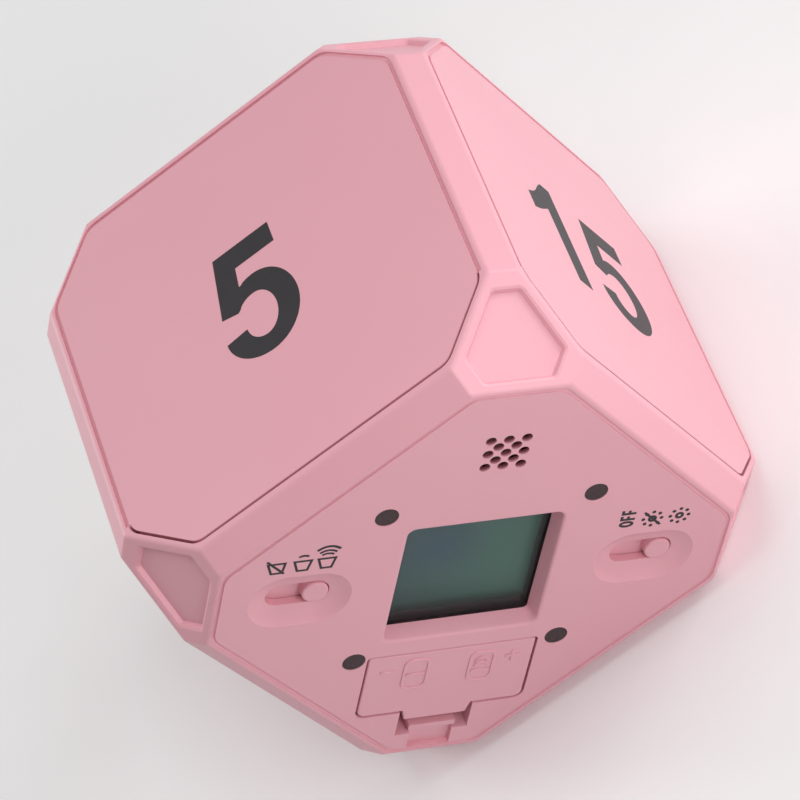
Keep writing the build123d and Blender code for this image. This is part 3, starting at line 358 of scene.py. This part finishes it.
track_plane = add(board_tree, "ShaderNodeCombineXYZ")
board_tree.links.new(board_place, track_flat.inputs[0])
wire(
    board_tree,
    (track_flat, "X", track_plane, "X"),
    (track_flat, "Z", track_plane, "Y"),
    (track_plane, 0, track_pattern, "Vector"),
)
tint_over(green_board, track_pattern.outputs["Fac"], track_tint)
dot_pattern = add(
    board_tree, "ShaderNodeTexVoronoi", {"voronoi_dimensions": "2D"}, {"Scale": 210.0, "Randomness": 0.8}
)
dot_edge = add(board_tree, "ShaderNodeMath", {"operation": "LESS_THAN"}, {1: dot_reach})
board_tree.links.new(track_plane.outputs[0], dot_pattern.inputs["Vector"])
board_tree.links.new(dot_pattern.outputs["Distance"], dot_edge.inputs[0])
tint_over(green_board, dot_edge.outputs[0], dot_tint)
board_facing = add(board_tree, "ShaderNodeNewGeometry")
board_split = add(board_tree, "ShaderNodeSeparateXYZ")
board_size = add(board_tree, "ShaderNodeMath", {"operation": "ABSOLUTE"})
board_edge = add(board_tree, "ShaderNodeMath", {"operation": "LESS_THAN"}, {1: face_slope})
wire(
    board_tree,
    (board_facing, "True Normal", board_split, 0),
    (board_split, "Y", board_size, 0),
    (board_size, 0, board_edge, 0),
)
tint_over(green_board, board_edge.outputs[0], fibre_tint)
dress(green_board, "main_board")


# Controller blob, quartz crystal, filter capacitor, tilt sensor and chip resistors
# Black resin over the chip, a steel can lying down, an upright can in a shrunk sleeve, a moulded box that
# senses which face is up, and five chips with tinned ends.
def rolled_steel_group():
    """Streaked bare metal: a tint, its roughness and a height that follow the rolling direction"""
    inputs = {
        "Tint": ("NodeSocketColor", (0.5, 0.5, 0.52, 1)),
        "Dull Tint": ("NodeSocketColor", (0.4, 0.4, 0.42, 1)),
        "Streak Scale": ("NodeSocketFloat", 1500.0),
        "Stretch": ("NodeSocketVector", (1.0, 1.0, 0.08)),
        "Gloss Low": ("NodeSocketFloat", 0.2),
        "Gloss High": ("NodeSocketFloat", 0.45),
    }
    group, start, end = new_group("rolled_metal", inputs, grain_outputs)
    place = add(group, "ShaderNodeTexCoord")
    mapping = add(group, "ShaderNodeMapping")
    streaks = add(group, "ShaderNodeTexNoise", {}, {"Detail": 3.0, "Roughness": 0.6})
    spots = add(group, "ShaderNodeTexNoise", {}, {"Scale": 380.0, "Detail": 2.0})
    gloss = add(group, "ShaderNodeMapRange", {}, {"From Min": 0.3, "From Max": 0.7})
    wire(
        group,
        (place, "Object", mapping, "Vector"),
        (start, "Stretch", mapping, "Scale"),
        (mapping, "Vector", streaks, "Vector"),
        (start, "Streak Scale", streaks, "Scale"),
        (place, "Object", spots, "Vector"),
    )
    spotted = mix_tints(group, spots.outputs["Fac"], start.outputs["Tint"], start.outputs["Dull Tint"])
    group.links.new(spotted, end.inputs["Tint"])
    wire(
        group,
        (streaks, "Fac", gloss, "Value"),
        (start, "Gloss Low", gloss, "To Min"),
        (start, "Gloss High", gloss, "To Max"),
        (gloss, "Result", end, "Roughness"),
        (streaks, "Fac", end, "Height"),
    )
    return group


rolled_metal = rolled_steel_group()


def metal(name, tint, dull_tint, streak, stretch, gloss, relief):
    """A bare or plated metal finish, streaked along its rolling direction"""
    values = {
        "Tint": (*tint, 1), "Dull Tint": (*dull_tint, 1), "Streak Scale": streak, "Stretch": stretch,
        "Gloss Low": gloss[0], "Gloss High": gloss[1],
    }
    return surfaced(name, rolled_metal, values, relief, {"Metallic": 1.0})


def bare_over(material, share, tint):
    """Bare metal over a finish where a mask says so"""
    tree = material.node_tree
    tree.links.new(share, tree.nodes["Principled BSDF"].inputs["Metallic"])
    tint_over(material, share, tint)


def beyond(tree, vector, axis, limit, side="GREATER_THAN"):
    """A mask of 1 where one coordinate is on one side of a limit, as a rule the greater"""
    split = add(tree, "ShaderNodeSeparateXYZ")
    over = add(tree, "ShaderNodeMath", {"operation": side}, {1: limit})
    tree.links.new(vector, split.inputs[0])
    tree.links.new(split.outputs[axis], over.inputs[0])
    return over.outputs[0]


can_steel = metal(
    "can_steel", tint=(0.56, 0.56, 0.58), dull_tint=(0.44, 0.44, 0.47), streak=1600,
    stretch=(0.1, 1, 1), gloss=(0.18, 0.36), relief=0.000001,
)
drop_resin = moulded(
    "drop_resin", tint=(0.008, 0.008, 0.009), second_tint=(0.014, 0.013, 0.013), cloud=220, grain=700,
    gloss=(0.12, 0.26), relief=0.000012,
)
shrunk_sleeve = moulded(
    "shrunk_sleeve", tint=(0.006, 0.010, 0.045), second_tint=(0.008, 0.013, 0.055), cloud=300,
    grain=2500, gloss=(0.15, 0.28), relief=0.000002,
)
sleeve_tree = shrunk_sleeve.node_tree
sleeve_place = add(sleeve_tree, "ShaderNodeTexCoord").outputs["Object"]
stripe_start = 0.0257 - layout_shift
top_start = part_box("filter_capacitor")[1].y - 0.0002
stripe_tint, can_tint = (0.5, 0.52, 0.55, 1), (0.55, 0.55, 0.57, 1)
tint_over(shrunk_sleeve, beyond(sleeve_tree, turned_place(sleeve_tree), "X", stripe_start), stripe_tint)
bare_over(shrunk_sleeve, beyond(sleeve_tree, sleeve_place, "Y", top_start), can_tint)
chip_ceramic = moulded(
    "chip_ceramic", tint=(0.010, 0.010, 0.011), second_tint=(0.018, 0.018, 0.019), cloud=900,
    grain=4200, gloss=(0.22, 0.4), relief=0.000003,
)
chip_row_middle, tin_start = 0.010 - layout_shift, 0.00065
tin_tint = (0.58, 0.59, 0.60, 1)
chip_tree = chip_ceramic.node_tree
chip_split = add(chip_tree, "ShaderNodeSeparateXYZ")
chip_middle = add(chip_tree, "ShaderNodeMath", {"operation": "SUBTRACT"}, {1: chip_row_middle})
chip_reach = add(chip_tree, "ShaderNodeMath", {"operation": "ABSOLUTE"})
chip_end = add(chip_tree, "ShaderNodeMath", {"operation": "GREATER_THAN"}, {1: tin_start})
chip_tree.links.new(turned_place(chip_tree), chip_split.inputs[0])
wire(
    chip_tree,
    (chip_split, "X", chip_middle, 0),
    (chip_middle, 0, chip_reach, 0),
    (chip_reach, 0, chip_end, 0),
)
bare_over(chip_ceramic, chip_end.outputs[0], tin_tint)
dress(drop_resin, "controller_blob")
dress(can_steel, "quartz_crystal")
dress(shrunk_sleeve, "filter_capacitor")
dress(black_moulding, "tilt_sensor")
dress(chip_ceramic, "chip_resistors")


# Solder joints
# Small bright cones where each wire or pin comes through the board's back, set down as one dome on each
# point of a list.
board_back = 0.0101
joint_radius, joint_height = 0.00075, 0.0005
middle = Vector((0, -half_side, half_side))
along_u = Vector((1, 0, -1)).normalized()
along_v = Vector((1, 0, 1)).normalized()


def stand(right, up, out, origin):
    """The matrix that lays flat work in its place: its X to the right, its Y upwards, its Z outwards"""
    return Matrix.Translation(origin) @ Matrix((right, up, out)).transposed().to_4x4()


def grown(name, tree, carrier, values, place):
    """What a geometry tree makes on a carrier mesh, as a plain mesh object in its place"""
    holder = bpy.data.objects.new(name + "_carrier", carrier)
    bpy.context.scene.collection.objects.link(holder)
    modifier = holder.modifiers.new(name, "NODES")
    modifier.node_group = tree
    for item in tree.interface.items_tree:
        if item.item_type == "SOCKET" and item.in_out == "INPUT" and item.name in values:
            modifier[item.identifier] = values[item.name]
    evaluated = holder.evaluated_get(bpy.context.evaluated_depsgraph_get())
    mesh = bpy.data.meshes.new_from_object(evaluated)
    holder.modifiers.remove(modifier)
    bpy.data.objects.remove(holder)
    mesh.transform(place)
    made = bpy.data.objects.new(name, mesh)
    bpy.context.scene.collection.objects.link(made)
    return made


def new_geometry_tree(name, inputs):
    """An empty geometry tree with named inputs, and its two end nodes"""
    tree = bpy.data.node_groups.new(name, "GeometryNodeTree")
    tree.interface.new_socket(name="Geometry", in_out="INPUT", socket_type="NodeSocketGeometry")
    for socket, kind in inputs.items():
        tree.interface.new_socket(name=socket, in_out="INPUT", socket_type=kind)
    tree.interface.new_socket(name="Geometry", in_out="OUTPUT", socket_type="NodeSocketGeometry")
    return tree, tree.nodes.new("NodeGroupInput"), tree.nodes.new("NodeGroupOutput")


def points_mesh(name, points):
    """A mesh of loose points, in millimetres on its own plane"""
    mesh = bpy.data.meshes.new(name)
    mesh.from_pydata([(x / 1000, y / 1000, 0) for x, y in points], [], [])
    return mesh


tinned_solder = metal(
    "tinned_solder", tint=(0.66, 0.67, 0.68), dull_tint=(0.52, 0.53, 0.55), streak=2200,
    stretch=(1, 1, 1), gloss=(0.12, 0.34), relief=0.000006,
)
joint_tree, joint_in, joint_out = new_geometry_tree(
    "solder_joint_tree",
    {"Radius": "NodeSocketFloat", "Height": "NodeSocketFloat", "Metal": "NodeSocketMaterial"},
)
joint_ball = add(joint_tree, "GeometryNodeMeshUVSphere", {}, {"Segments": 20, "Rings": 12})
joint_squash = add(joint_tree, "ShaderNodeCombineXYZ", {}, {"X": 1.0, "Y": 1.0})
joint_share = add(joint_tree, "ShaderNodeMath", {"operation": "DIVIDE"})
joint_shape = add(joint_tree, "GeometryNodeTransform")
joint_copies = add(joint_tree, "GeometryNodeInstanceOnPoints")
joint_real = add(joint_tree, "GeometryNodeRealizeInstances")
joint_metal = add(joint_tree, "GeometryNodeSetMaterial")
wire(
    joint_tree,
    (joint_in, "Radius", joint_ball, "Radius"),
    (joint_in, "Height", joint_share, 0),
    (joint_in, "Radius", joint_share, 1),
    (joint_share, 0, joint_squash, "Z"),
    (joint_ball, "Mesh", joint_shape, "Geometry"),
    (joint_squash, 0, joint_shape, "Scale"),
    (joint_in, "Geometry", joint_copies, "Points"),
    (joint_shape, 0, joint_copies, "Instance"),
    (joint_copies, "Instances", joint_real, "Geometry"),
    (joint_real, 0, joint_metal, "Geometry"),
    (joint_in, "Metal", joint_metal, "Material"),
    (joint_metal, 0, joint_out, "Geometry"),
)
lead_ends = [(-5.5, 10.7), (5.5, 10.7), (-1.5, -9.8), (1.5, -9.8)]
sensor_pins = [(-23.5 + x, y) for x in (-2, 2) for y in (-2, 2)]
lamp_pins = [(x, 12.0) for x in (-6.2, -3.8, 3.8, 6.2)]
switch_pins = [(switch + x, 4.5) for switch in (-18.9, 18.9) for x in (-2.5, 0, 2.5)]
joint_points = lead_ends + sensor_pins + lamp_pins + switch_pins
board_rear = stand(along_u, -along_v, Vector((0, 1, 0)), middle + Vector((0, board_back, 0)))
solder_joints = grown(
    "solder_joints", joint_tree, points_mesh("joint_points", joint_points),
    {"Radius": joint_radius, "Height": joint_height, "Metal": tinned_solder}, board_rear,
)
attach(solder_joints, "housing")


# Sounder
# A steel cup with a thin domed sheet in it and a magnet behind, sealed to the shell by a foam ring. Two
# thin leads run over the board's edge.
foam_ring = moulded(
    "foam_ring", tint=(0.03, 0.03, 0.03), second_tint=(0.055, 0.055, 0.055), cloud=1500, grain=2600,
    gloss=(0.8, 0.95), relief=0.00006,
)
dome_sheet = moulded(
    "dome_sheet", tint=(0.30, 0.24, 0.14), second_tint=(0.24, 0.19, 0.11), cloud=400, grain=2500,
    gloss=(0.25, 0.4), relief=0.000004,
)
magnet_plating = metal(
    "magnet_plating", tint=(0.58, 0.57, 0.54), dull_tint=(0.46, 0.45, 0.43), streak=900,
    stretch=(1, 1, 1), gloss=(0.15, 0.32), relief=0.000001,
)
black_wire = moulded(
    "black_wire", tint=(0.010, 0.010, 0.011), second_tint=(0.016, 0.016, 0.017), cloud=500,
    grain=2600, gloss=(0.35, 0.5), relief=0.000005,
)
dress(foam_ring, "sounder_gasket")
dress(can_steel, "sounder_frame")
dress(dome_sheet, "sounder_cone")
dress(magnet_plating, "sounder_magnet")
dress(black_wire, "sounder_leads")


# Slide switches and knobs
# Each knob is moulded in the shells' pink with a plate that closes its slot from behind; its fork pushes
# the black slider of a small steel-cased switch on the board.
dress(can_steel, "sound_switch_case", "light_switch_case")
dress(black_moulding, "sound_switch_slider", "light_switch_slider")
dress(pink_moulding, "sound_knob", "light_knob")


# Board screws and tray screws
# Zinc-plated steel screws with slotted heads, turned from wire, so their streaks run round the shank.
screw_steel = metal(
    "screw_steel", tint=(0.60, 0.59, 0.56), dull_tint=(0.48, 0.47, 0.45), streak=2600,
    stretch=(1, 0.15, 1), gloss=(0.2, 0.42), relief=0.000003,
)
dress(screw_steel, "board_screws", "tray_screws")


# Battery tray and its contacts
# A deep moulded tube in white plastic with two ears. Nickel-plated strips are pushed into its far end, one
# as a plate and one folded into a leaf that springs.
white_moulding = moulded(
    "white_moulding", tint=(0.70, 0.70, 0.67), second_tint=(0.64, 0.64, 0.61), cloud=80, grain=3200,
    gloss=(0.4, 0.55), relief=0.000006,
)
nickel_strip = metal(
    "nickel_strip", tint=(0.68, 0.64, 0.57), dull_tint=(0.56, 0.52, 0.46), streak=1800,
    stretch=(0.12, 1, 0.12), gloss=(0.16, 0.34), relief=0.000001,
)
dress(white_moulding, "battery_tray")
dress(nickel_strip, "tray_plate_contact", "tray_spring_contact")


# Battery leads
# One red and one black wire, soldered to the contacts' tags and to the board, in smooth soft insulation.
red_wire = moulded(
    "red_wire", tint=(0.36, 0.012, 0.012), second_tint=(0.31, 0.010, 0.010), cloud=500, grain=2600,
    gloss=(0.35, 0.5), relief=0.000005,
)
dress(red_wire, "positive_lead")
dress(black_wire, "negative_lead")


# Rear shell
# The second pink moulding: four number faces, the back, and the edges and corners between them. Its
# tongues lap over steps in the front shell.
dress(pink_moulding, "rear_shell")


# Numerals
# Dark grey ink, pad-printed on the four number faces: 5, 15, 60 and 30. Each stands with its foot towards
# the display face.
def arc(x, y, width, height, start, end, steps=18):
    """Points along an ellipse's arc, from one angle to another, in degrees"""
    angles = [radians(start + (end - start) * step / steps) for step in range(steps + 1)]
    return [(x + width * cos(angle), y + height * sin(angle)) for angle in angles]


def oval(x, y, width, height, count=24):
    """Points all round an ellipse"""
    return arc(x, y, width, height, 0, 360 - 360 / count, count - 1)


def flat_marks(name, cuts, thickness, rounding, place, material):
    """Flat marks as one object, each cut a list of outlines in millimetres, the outer one and its holes"""
    same_point = 0.0000005
    marks = bmesh.new()
    for cut in cuts:
        curve = bpy.data.curves.new(name, "CURVE")
        curve.dimensions = "2D"
        curve.fill_mode = "BOTH"
        curve.extrude = thickness / 2
        curve.bevel_depth = rounding
        for outline in cut:
            spline = curve.splines.new("POLY")
            spline.points.add(len(outline) - 1)
            for point, (x, y) in zip(spline.points, outline):
                point.co = (x / 1000, y / 1000, 0, 1)
            spline.use_cyclic_u = True
        sheet = bpy.data.objects.new(name, curve)
        bpy.context.scene.collection.objects.link(sheet)
        evaluated = sheet.evaluated_get(bpy.context.evaluated_depsgraph_get())
        mesh = bpy.data.meshes.new_from_object(evaluated)
        marks.from_mesh(mesh)
        bpy.data.objects.remove(sheet)
        bpy.data.curves.remove(curve)
        bpy.data.meshes.remove(mesh)
    bmesh.ops.remove_doubles(marks, verts=marks.verts, dist=same_point)
    bmesh.ops.recalc_face_normals(marks, faces=marks.faces)
    mesh = bpy.data.meshes.new(name)
    marks.to_mesh(mesh)
    marks.free()
    mesh.transform(place)
    mesh.materials.append(material)
    made = bpy.data.objects.new(name, mesh)
    bpy.context.scene.collection.objects.link(made)
    return made


def shifted(cuts, x, y=0):
    """The same outlines moved sideways"""
    return [[[(px + x, py + y) for px, py in outline] for outline in cut] for cut in cuts]


figure_five = [[
    [(4.5, 9.6), (4.5, 6.2), (-2.0, 6.2), (-2.4, 3.1)]
    + arc(0.0, 2.9, 2.2, 0.75, 160, 90, 6)
    + arc(0.0, -2.8, 5.3, 6.45, 86, 0)
    + arc(-0.8, -2.8, 6.1, 6.5, -4, -90)
    + arc(-0.8, -4.1, 6.0, 5.2, -94, -180)
    + [(-3.4, -3.8)]
    + arc(-0.85, -3.9, 2.5, 2.6, 188, 270, 10)
    + arc(-0.85, -2.8, 2.7, 3.7, 274, 360, 10)
    + arc(-0.85, -2.8, 2.7, 3.6, 4, 90, 10)
    + arc(-0.85, -0.9, 2.6, 1.7, 94, 160, 8)
    + [(-3.75, -0.65), (-6.3, -0.1), (-4.7, 9.6)]
]]
figure_one = [[
    [(-5.5, 9.3), (-5.5, -9.3), (-8.7, -9.3), (-8.7, 4.0)]
    + [(-9.5, 3.5), (-10.4, 2.9), (-11.5, 2.3), (-13.1, 1.7), (-13.0, 4.9)]
    + [(-12.1, 5.3), (-11.1, 5.9), (-10.1, 6.8), (-9.2, 7.9), (-8.5, 8.7), (-7.6, 9.4), (-6.8, 9.35)]
]]
figure_nought = [[oval(0, 0.1, 5.9, 9.5, 36), oval(0, 0.1, 2.6, 6.5, 36)]]
figure_six = [[
    arc(0.2, 4.9, 5.2, 4.7, 6, 88, 10)
    + arc(0.2, 0.2, 6.2, 9.4, 92, 180)
    + arc(0.1, 0.0, 6.1, 9.3, 184, 268)
    + arc(0.1, -3.3, 5.8, 6.0, 272, 360)
    + arc(0.1, -3.3, 5.8, 5.9, 4, 90)
    + [(-1.3, 2.2), (-2.5, 1.3)]
    + arc(0.4, 2.1, 2.9, 4.4, 176, 92, 10)
    + arc(0.3, 4.9, 1.9, 1.6, 84, 12, 6),
    oval(0.1, -3.3, 2.6, 2.9),
]]
figure_three = [[
    arc(-0.2, 4.9, 5.6, 4.7, 176, 90, 12)
    + arc(-0.2, 4.7, 5.2, 4.9, 86, -34)
    + arc(-0.3, -3.6, 5.8, 5.7, 48, -86)
    + arc(-0.3, -4.1, 6.0, 5.2, -90, -176, 12)
    + [(-3.0, -4.1)]
    + arc(-0.3, -4.1, 2.7, 2.2, 184, 270, 8)
    + arc(-0.3, -3.7, 2.6, 2.6, 274, 440, 14)
    + [(-1.9, -1.1), (-1.9, 1.7)]
    + arc(-0.3, 4.2, 2.3, 2.5, -84, 88, 14)
    + arc(-0.2, 4.7, 2.3, 2.0, 92, 168, 8)
]]
pad_ink = moulded(
    "pad_ink", tint=(0.026, 0.023, 0.026), second_tint=(0.034, 0.030, 0.034), cloud=400, grain=5200,
    gloss=(0.38, 0.55), relief=0.000003, plain={"IOR": 1.36},
)
ink_depth = 0.00003
centre = Vector((0, 0, half_side))
axis_x, axis_y, axis_z = Vector((1, 0, 0)), Vector((0, 1, 0)), Vector((0, 0, 1))
for name, figures, right, out in (
    ("numerals_top", figure_five, axis_x, axis_z),
    ("numerals_right", figure_one + shifted(figure_five, 6.4, -0.8), -axis_z, axis_x),
    ("numerals_left", shifted(figure_six, -7.2) + shifted(figure_nought, 7.2), axis_z, -axis_x),
    ("numerals_bottom", shifted(figure_three, -7.2) + shifted(figure_nought, 7.2), -axis_x, -axis_z),
):
    number_face = stand(right, axis_y, out, centre + out * half_side)
    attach(flat_marks(name, figures, ink_depth, 0, number_face, pad_ink), "housing")


# Shell screws and their plugs
# Four longer screws close the case from the display face. A plum-brown rubber plug is pushed in over each
# and ends just below the face.
dress(screw_steel, "shell_screws")
plug_rubber = moulded(
    "plug_rubber", tint=(0.055, 0.028, 0.033), second_tint=(0.044, 0.022, 0.027), cloud=500,
    grain=3400, gloss=(0.6, 0.78), relief=0.00001,
)
dress(plug_rubber, "screw_plugs")


# Battery cells
# Two AAA cells in a plain shrunk film, dark with a copper-coloured band towards the nub, their ends bare
# steel.
def cell_film(name, cell, nub_at_door):
    """The film of one cell: bare metal ends and a copper-coloured band near the nub"""
    band_reach, nub_reach, rim_reach = 0.0125, 0.0022, 0.0008
    copper_tint, bare_tint = (0.42, 0.16, 0.06, 1), (0.62, 0.61, 0.60, 1)
    film = moulded(
        name, tint=(0.012, 0.014, 0.018), second_tint=(0.018, 0.020, 0.024), cloud=200, grain=2400,
        gloss=(0.16, 0.3), relief=0.000002,
    )
    tree = film.node_tree
    place = add(tree, "ShaderNodeTexCoord").outputs["Object"]
    low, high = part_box(cell)
    if nub_at_door:
        band = beyond(tree, place, "Y", low.y + band_reach, "LESS_THAN")
        bare_low, bare_high = low.y + nub_reach, high.y - rim_reach
    else:
        band = beyond(tree, place, "Y", high.y - band_reach)
        bare_low, bare_high = low.y + rim_reach, high.y - nub_reach
    bare = add(tree, "ShaderNodeMath", {"operation": "MAXIMUM"})
    tree.links.new(beyond(tree, place, "Y", bare_low, "LESS_THAN"), bare.inputs[0])
    tree.links.new(beyond(tree, place, "Y", bare_high), bare.inputs[1])
    tint_over(film, band, copper_tint)
    bare_over(film, bare.outputs[0], bare_tint)
    return film


dress(cell_film("left_cell_film", "battery_cell_left", False), "battery_cell_left")
dress(cell_film("right_cell_film", "battery_cell_right", True), "battery_cell_right")


# Battery door and the contact under it
# Pink lid with two hooks and a springy latch. Low raised outlines of two cells, a plus and a minus are
# moulded on it, and a nickel strip under it joins the cells.
def offset(points, distance, closed):
    """A line of points moved to its left by a distance, with mitred corners"""
    sharpest = 0.4
    moved = []
    count = len(points)
    for index, point in enumerate(points):
        sides = []
        for first, second in ((index - 1, index), (index, index + 1)):
            if closed or (first >= 0 and second < count):
                step = Vector(points[second % count]) - Vector(points[first % count])
                sides.append(Vector((-step.y, step.x)).normalized())
        mitre = sum(sides, Vector((0, 0))).normalized()
        reach = distance / max(mitre.dot(sides[0]), sharpest)
        moved.append(tuple(Vector(point) + mitre * reach))
    return moved


def stroke(points, width):
    """The outline of a line drawn with a width"""
    return [offset(points, width / 2, False) + offset(points, -width / 2, False)[::-1]]


def ring(points, width):
    """The two outlines of a closed line drawn with a width"""
    return [offset(points, width / 2, True), offset(points, -width / 2, True)]


def rounded_box(left, right, low, high, radius):
    """The points of a rectangle with round corners"""
    return (
        arc(right - radius, high - radius, radius, radius, 0, 90, 6)
        + arc(left + radius, high - radius, radius, radius, 90, 180, 6)
        + arc(left + radius, low + radius, radius, radius, 180, 270, 6)
        + arc(right - radius, low + radius, radius, radius, 270, 360, 6)
    )


def plus_sign(x, y, reach, half_width):
    """The twelve corners of a plus"""
    corner = [(half_width, reach), (half_width, half_width), (reach, half_width)]
    outline = []
    for _ in range(4):
        outline += [(x + a, y + b) for a, b in corner]
        corner = [(b, -a) for a, b in corner]
    return outline


display_face = stand(along_u, along_v, Vector((0, -1, 0)), middle)
outline_width, detail_width = 0.2, 0.16
mark_thickness, mark_rounding = 0.00012, 0.00012
door_marks = flat_marks(
    "door_marks",
    [
        ring(rounded_box(-6.6, -3.3, -21.1, -15.4, 1.1), outline_width),
        stroke([(-6.2, -18.3), (-3.7, -18.3)], detail_width),
        ring(rounded_box(2.6, 5.9, -21.2, -15.5, 1.1), outline_width),
        stroke([(3.0, -19.2), (5.5, -19.2)], detail_width),
        stroke(arc(4.25, -17.6, 0.8, 1.0, 20, 170, 12), detail_width),
        stroke(arc(4.25, -18.5, 0.9, 1.0, 20, 165, 12), detail_width),
        stroke([(-9.9, -17.2), (-8.2, -17.2)], outline_width),
        [plus_sign(8.5, -17.0, 0.95, outline_width / 2)],
    ],
    mark_thickness, mark_rounding, display_face, pink_moulding,
)
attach(door_marks, "door")
dress(pink_moulding, "battery_door")
dress(nickel_strip, "door_contact")


# Printed signs of the sound switch
# Three small bells drawn in the numerals' ink above the left slot: crossed out, soft and loud.
def bell(left, right, foot_left, foot_right):
    """The outline of one bell, wide at its top"""
    top, foot, line_width = 7.72, 5.95, 0.34
    return ring([(left, top), (foot_left, foot), (foot_right, foot), (right, top)], line_width)


sound_signs = flat_marks(
    "sound_signs",
    [
        bell(-28.9, -26.6, -28.3, -26.85),
        bell(-25.4, -23.1, -24.85, -23.5),
        bell(-22.2, -19.9, -21.65, -20.3),
        stroke(arc(-24.25, 7.6, 1.15, 1.15, 55, 125, 8), 0.36),
        stroke(arc(-21.05, 6.9, 1.6, 1.75, 60, 120, 8), 0.32),
        stroke(arc(-21.05, 6.6, 2.1, 2.65, 57, 123, 8), 0.34),
        stroke(arc(-21.05, 6.3, 2.7, 3.7, 55, 125, 10), 0.4),
    ],
    ink_depth, 0, display_face, pad_ink,
)
slash_depth = ink_depth * 1.3
sound_slash = flat_marks(
    "sound_slash", [stroke([(-29.1, 8.35), (-26.55, 5.75)], 0.34)], slash_depth, 0, display_face, pad_ink
)
for sign in (sound_signs, sound_slash):
    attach(sign, "housing")


# Printed signs of the light switch
# OFF, read upwards, then a crossed sun and a sun in the same ink. A sun's eight rays are dots set evenly
# round its ring.
def letter(points, foot):
    """A letter's outline laid along the upward line of lettering, from a foot position"""
    base_line = 20.75
    return [(base_line - y, foot + x) for x, y in points]


letter_width, sun_width = 0.4, 0.42
letter_f = [(0, 0), (0.4, 0), (0.4, 0.75), (0.8, 0.75), (0.8, 1.15), (0.4, 1.15), (0.4, 1.65), (0.86, 1.65)]
letter_f += [(0.86, 2.05), (0, 2.05)]
off_word = [ring(letter(oval(0.6, 1.02, 0.4, 0.82), 6.4), letter_width)]
off_word += [[letter(letter_f, 7.72)], [letter(letter_f, 8.82)]]
suns = [(23.3, 7.5), (27.1, 7.5)]
sun_discs = [ring(oval(x, y, sun_width, sun_width), sun_width) for x, y in suns]
light_signs = flat_marks("light_signs", off_word + sun_discs, ink_depth, 0, display_face, pad_ink)
light_slash = flat_marks(
    "light_slash", [stroke([(22.0, 8.85), (24.6, 6.2)], 0.36)], slash_depth, 0, display_face, pad_ink
)
ray_tree, ray_in, ray_out = new_geometry_tree(
    "sun_ray_tree",
    {
        "Rays": "NodeSocketInt",
        "Ring Radius": "NodeSocketFloat",
        "Dot Radius": "NodeSocketFloat",
        "Depth": "NodeSocketFloat",
        "Ink": "NodeSocketMaterial",
    },
)
ray_ring = add(ray_tree, "GeometryNodeMeshCircle")
ray_dot = add(ray_tree, "GeometryNodeMeshCylinder", {}, {"Vertices": 20})
ray_places = add(ray_tree, "GeometryNodeInstanceOnPoints")
ray_points = add(ray_tree, "GeometryNodeRealizeInstances")
ray_copies = add(ray_tree, "GeometryNodeInstanceOnPoints")
ray_real = add(ray_tree, "GeometryNodeRealizeInstances")
ray_ink = add(ray_tree, "GeometryNodeSetMaterial")
wire(
    ray_tree,
    (ray_in, "Rays", ray_ring, "Vertices"),
    (ray_in, "Ring Radius", ray_ring, "Radius"),
    (ray_in, "Dot Radius", ray_dot, "Radius"),
    (ray_in, "Depth", ray_dot, "Depth"),
    (ray_in, "Geometry", ray_places, "Points"),
    (ray_ring, "Mesh", ray_places, "Instance"),
    (ray_places, "Instances", ray_points, "Geometry"),
    (ray_points, 0, ray_copies, "Points"),
    (ray_dot, "Mesh", ray_copies, "Instance"),
    (ray_copies, "Instances", ray_real, "Geometry"),
    (ray_real, 0, ray_ink, "Geometry"),
    (ray_in, "Ink", ray_ink, "Material"),
    (ray_ink, 0, ray_out, "Geometry"),
)
ray_values = {"Rays": 8, "Ring Radius": 0.00128, "Dot Radius": 0.00027, "Depth": ink_depth, "Ink": pad_ink}
sun_rays = grown("sun_rays", ray_tree, points_mesh("sun_centres", suns), ray_values, display_face)
for sign in (light_signs, light_slash, sun_rays):
    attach(sign, "housing")


# Floor, light and camera
# A plain pale floor a hair under the timer, three large soft lamps, a small one in front and a bright
# room, seen from above and in front, with the top, right and display faces in view.
floor_gap = 0.00003
bpy.ops.mesh.primitive_plane_add(size=6, location=(0, 0, -floor_gap))
floor = bpy.context.object
floor.name = "floor"
floor_paint = moulded(
    "floor_paint", tint=(0.94, 0.94, 0.94), second_tint=(0.92, 0.92, 0.92), cloud=3, grain=60,
    gloss=(0.6, 0.7), relief=0.0001,
)
floor.data.materials.append(floor_paint)
for name, spot, power, side in (
    ("side_lamp", (0.85, 0.15, 0.20), 4.4, 0.5),
    ("rear_lamp", (-0.75, 0.70, 0.38), 5.2, 0.6),
    ("upper_lamp", (0.15, 0.0, 0.90), 2.4, 0.6),
    ("front_lamp", (0.14, -0.20, 0.16), 0.24, 0.12),
):
    light = bpy.data.lights.new(name, "AREA")
    light.energy = power
    light.size = side
    lamp = bpy.data.objects.new(name, light)
    lamp.location = spot
    lamp.rotation_euler = (centre - Vector(spot)).to_track_quat("-Z", "Y").to_euler()
    bpy.context.scene.collection.objects.link(lamp)
room = bpy.data.worlds.new("room")
bpy.context.scene.world = room
room.use_nodes = True
room_light = room.node_tree.nodes["Background"]
room_light.inputs["Color"].default_value = (1, 1, 1, 1)
room_light.inputs["Strength"].default_value = 0.26
bpy.context.scene.view_settings.view_transform = "Standard"
camera = bpy.data.objects.new("camera", bpy.data.cameras.new("camera"))
bpy.context.scene.collection.objects.link(camera)
picture_width, focal_length_in_pixels = 800, 4045.7
camera.data.sensor_width = 36
camera.data.lens = camera.data.sensor_width * focal_length_in_pixels / picture_width
camera.matrix_world = stand(
    Vector((0.7779464, -0.28966851, -0.5575765)),
    Vector((0.56157429, 0.71858299, 0.41021068)),
    Vector((0.28183987, -0.63224254, 0.72168944)),
    Vector((0.152716, -0.343437, 0.4242)),
)
bpy.context.scene.camera = camera
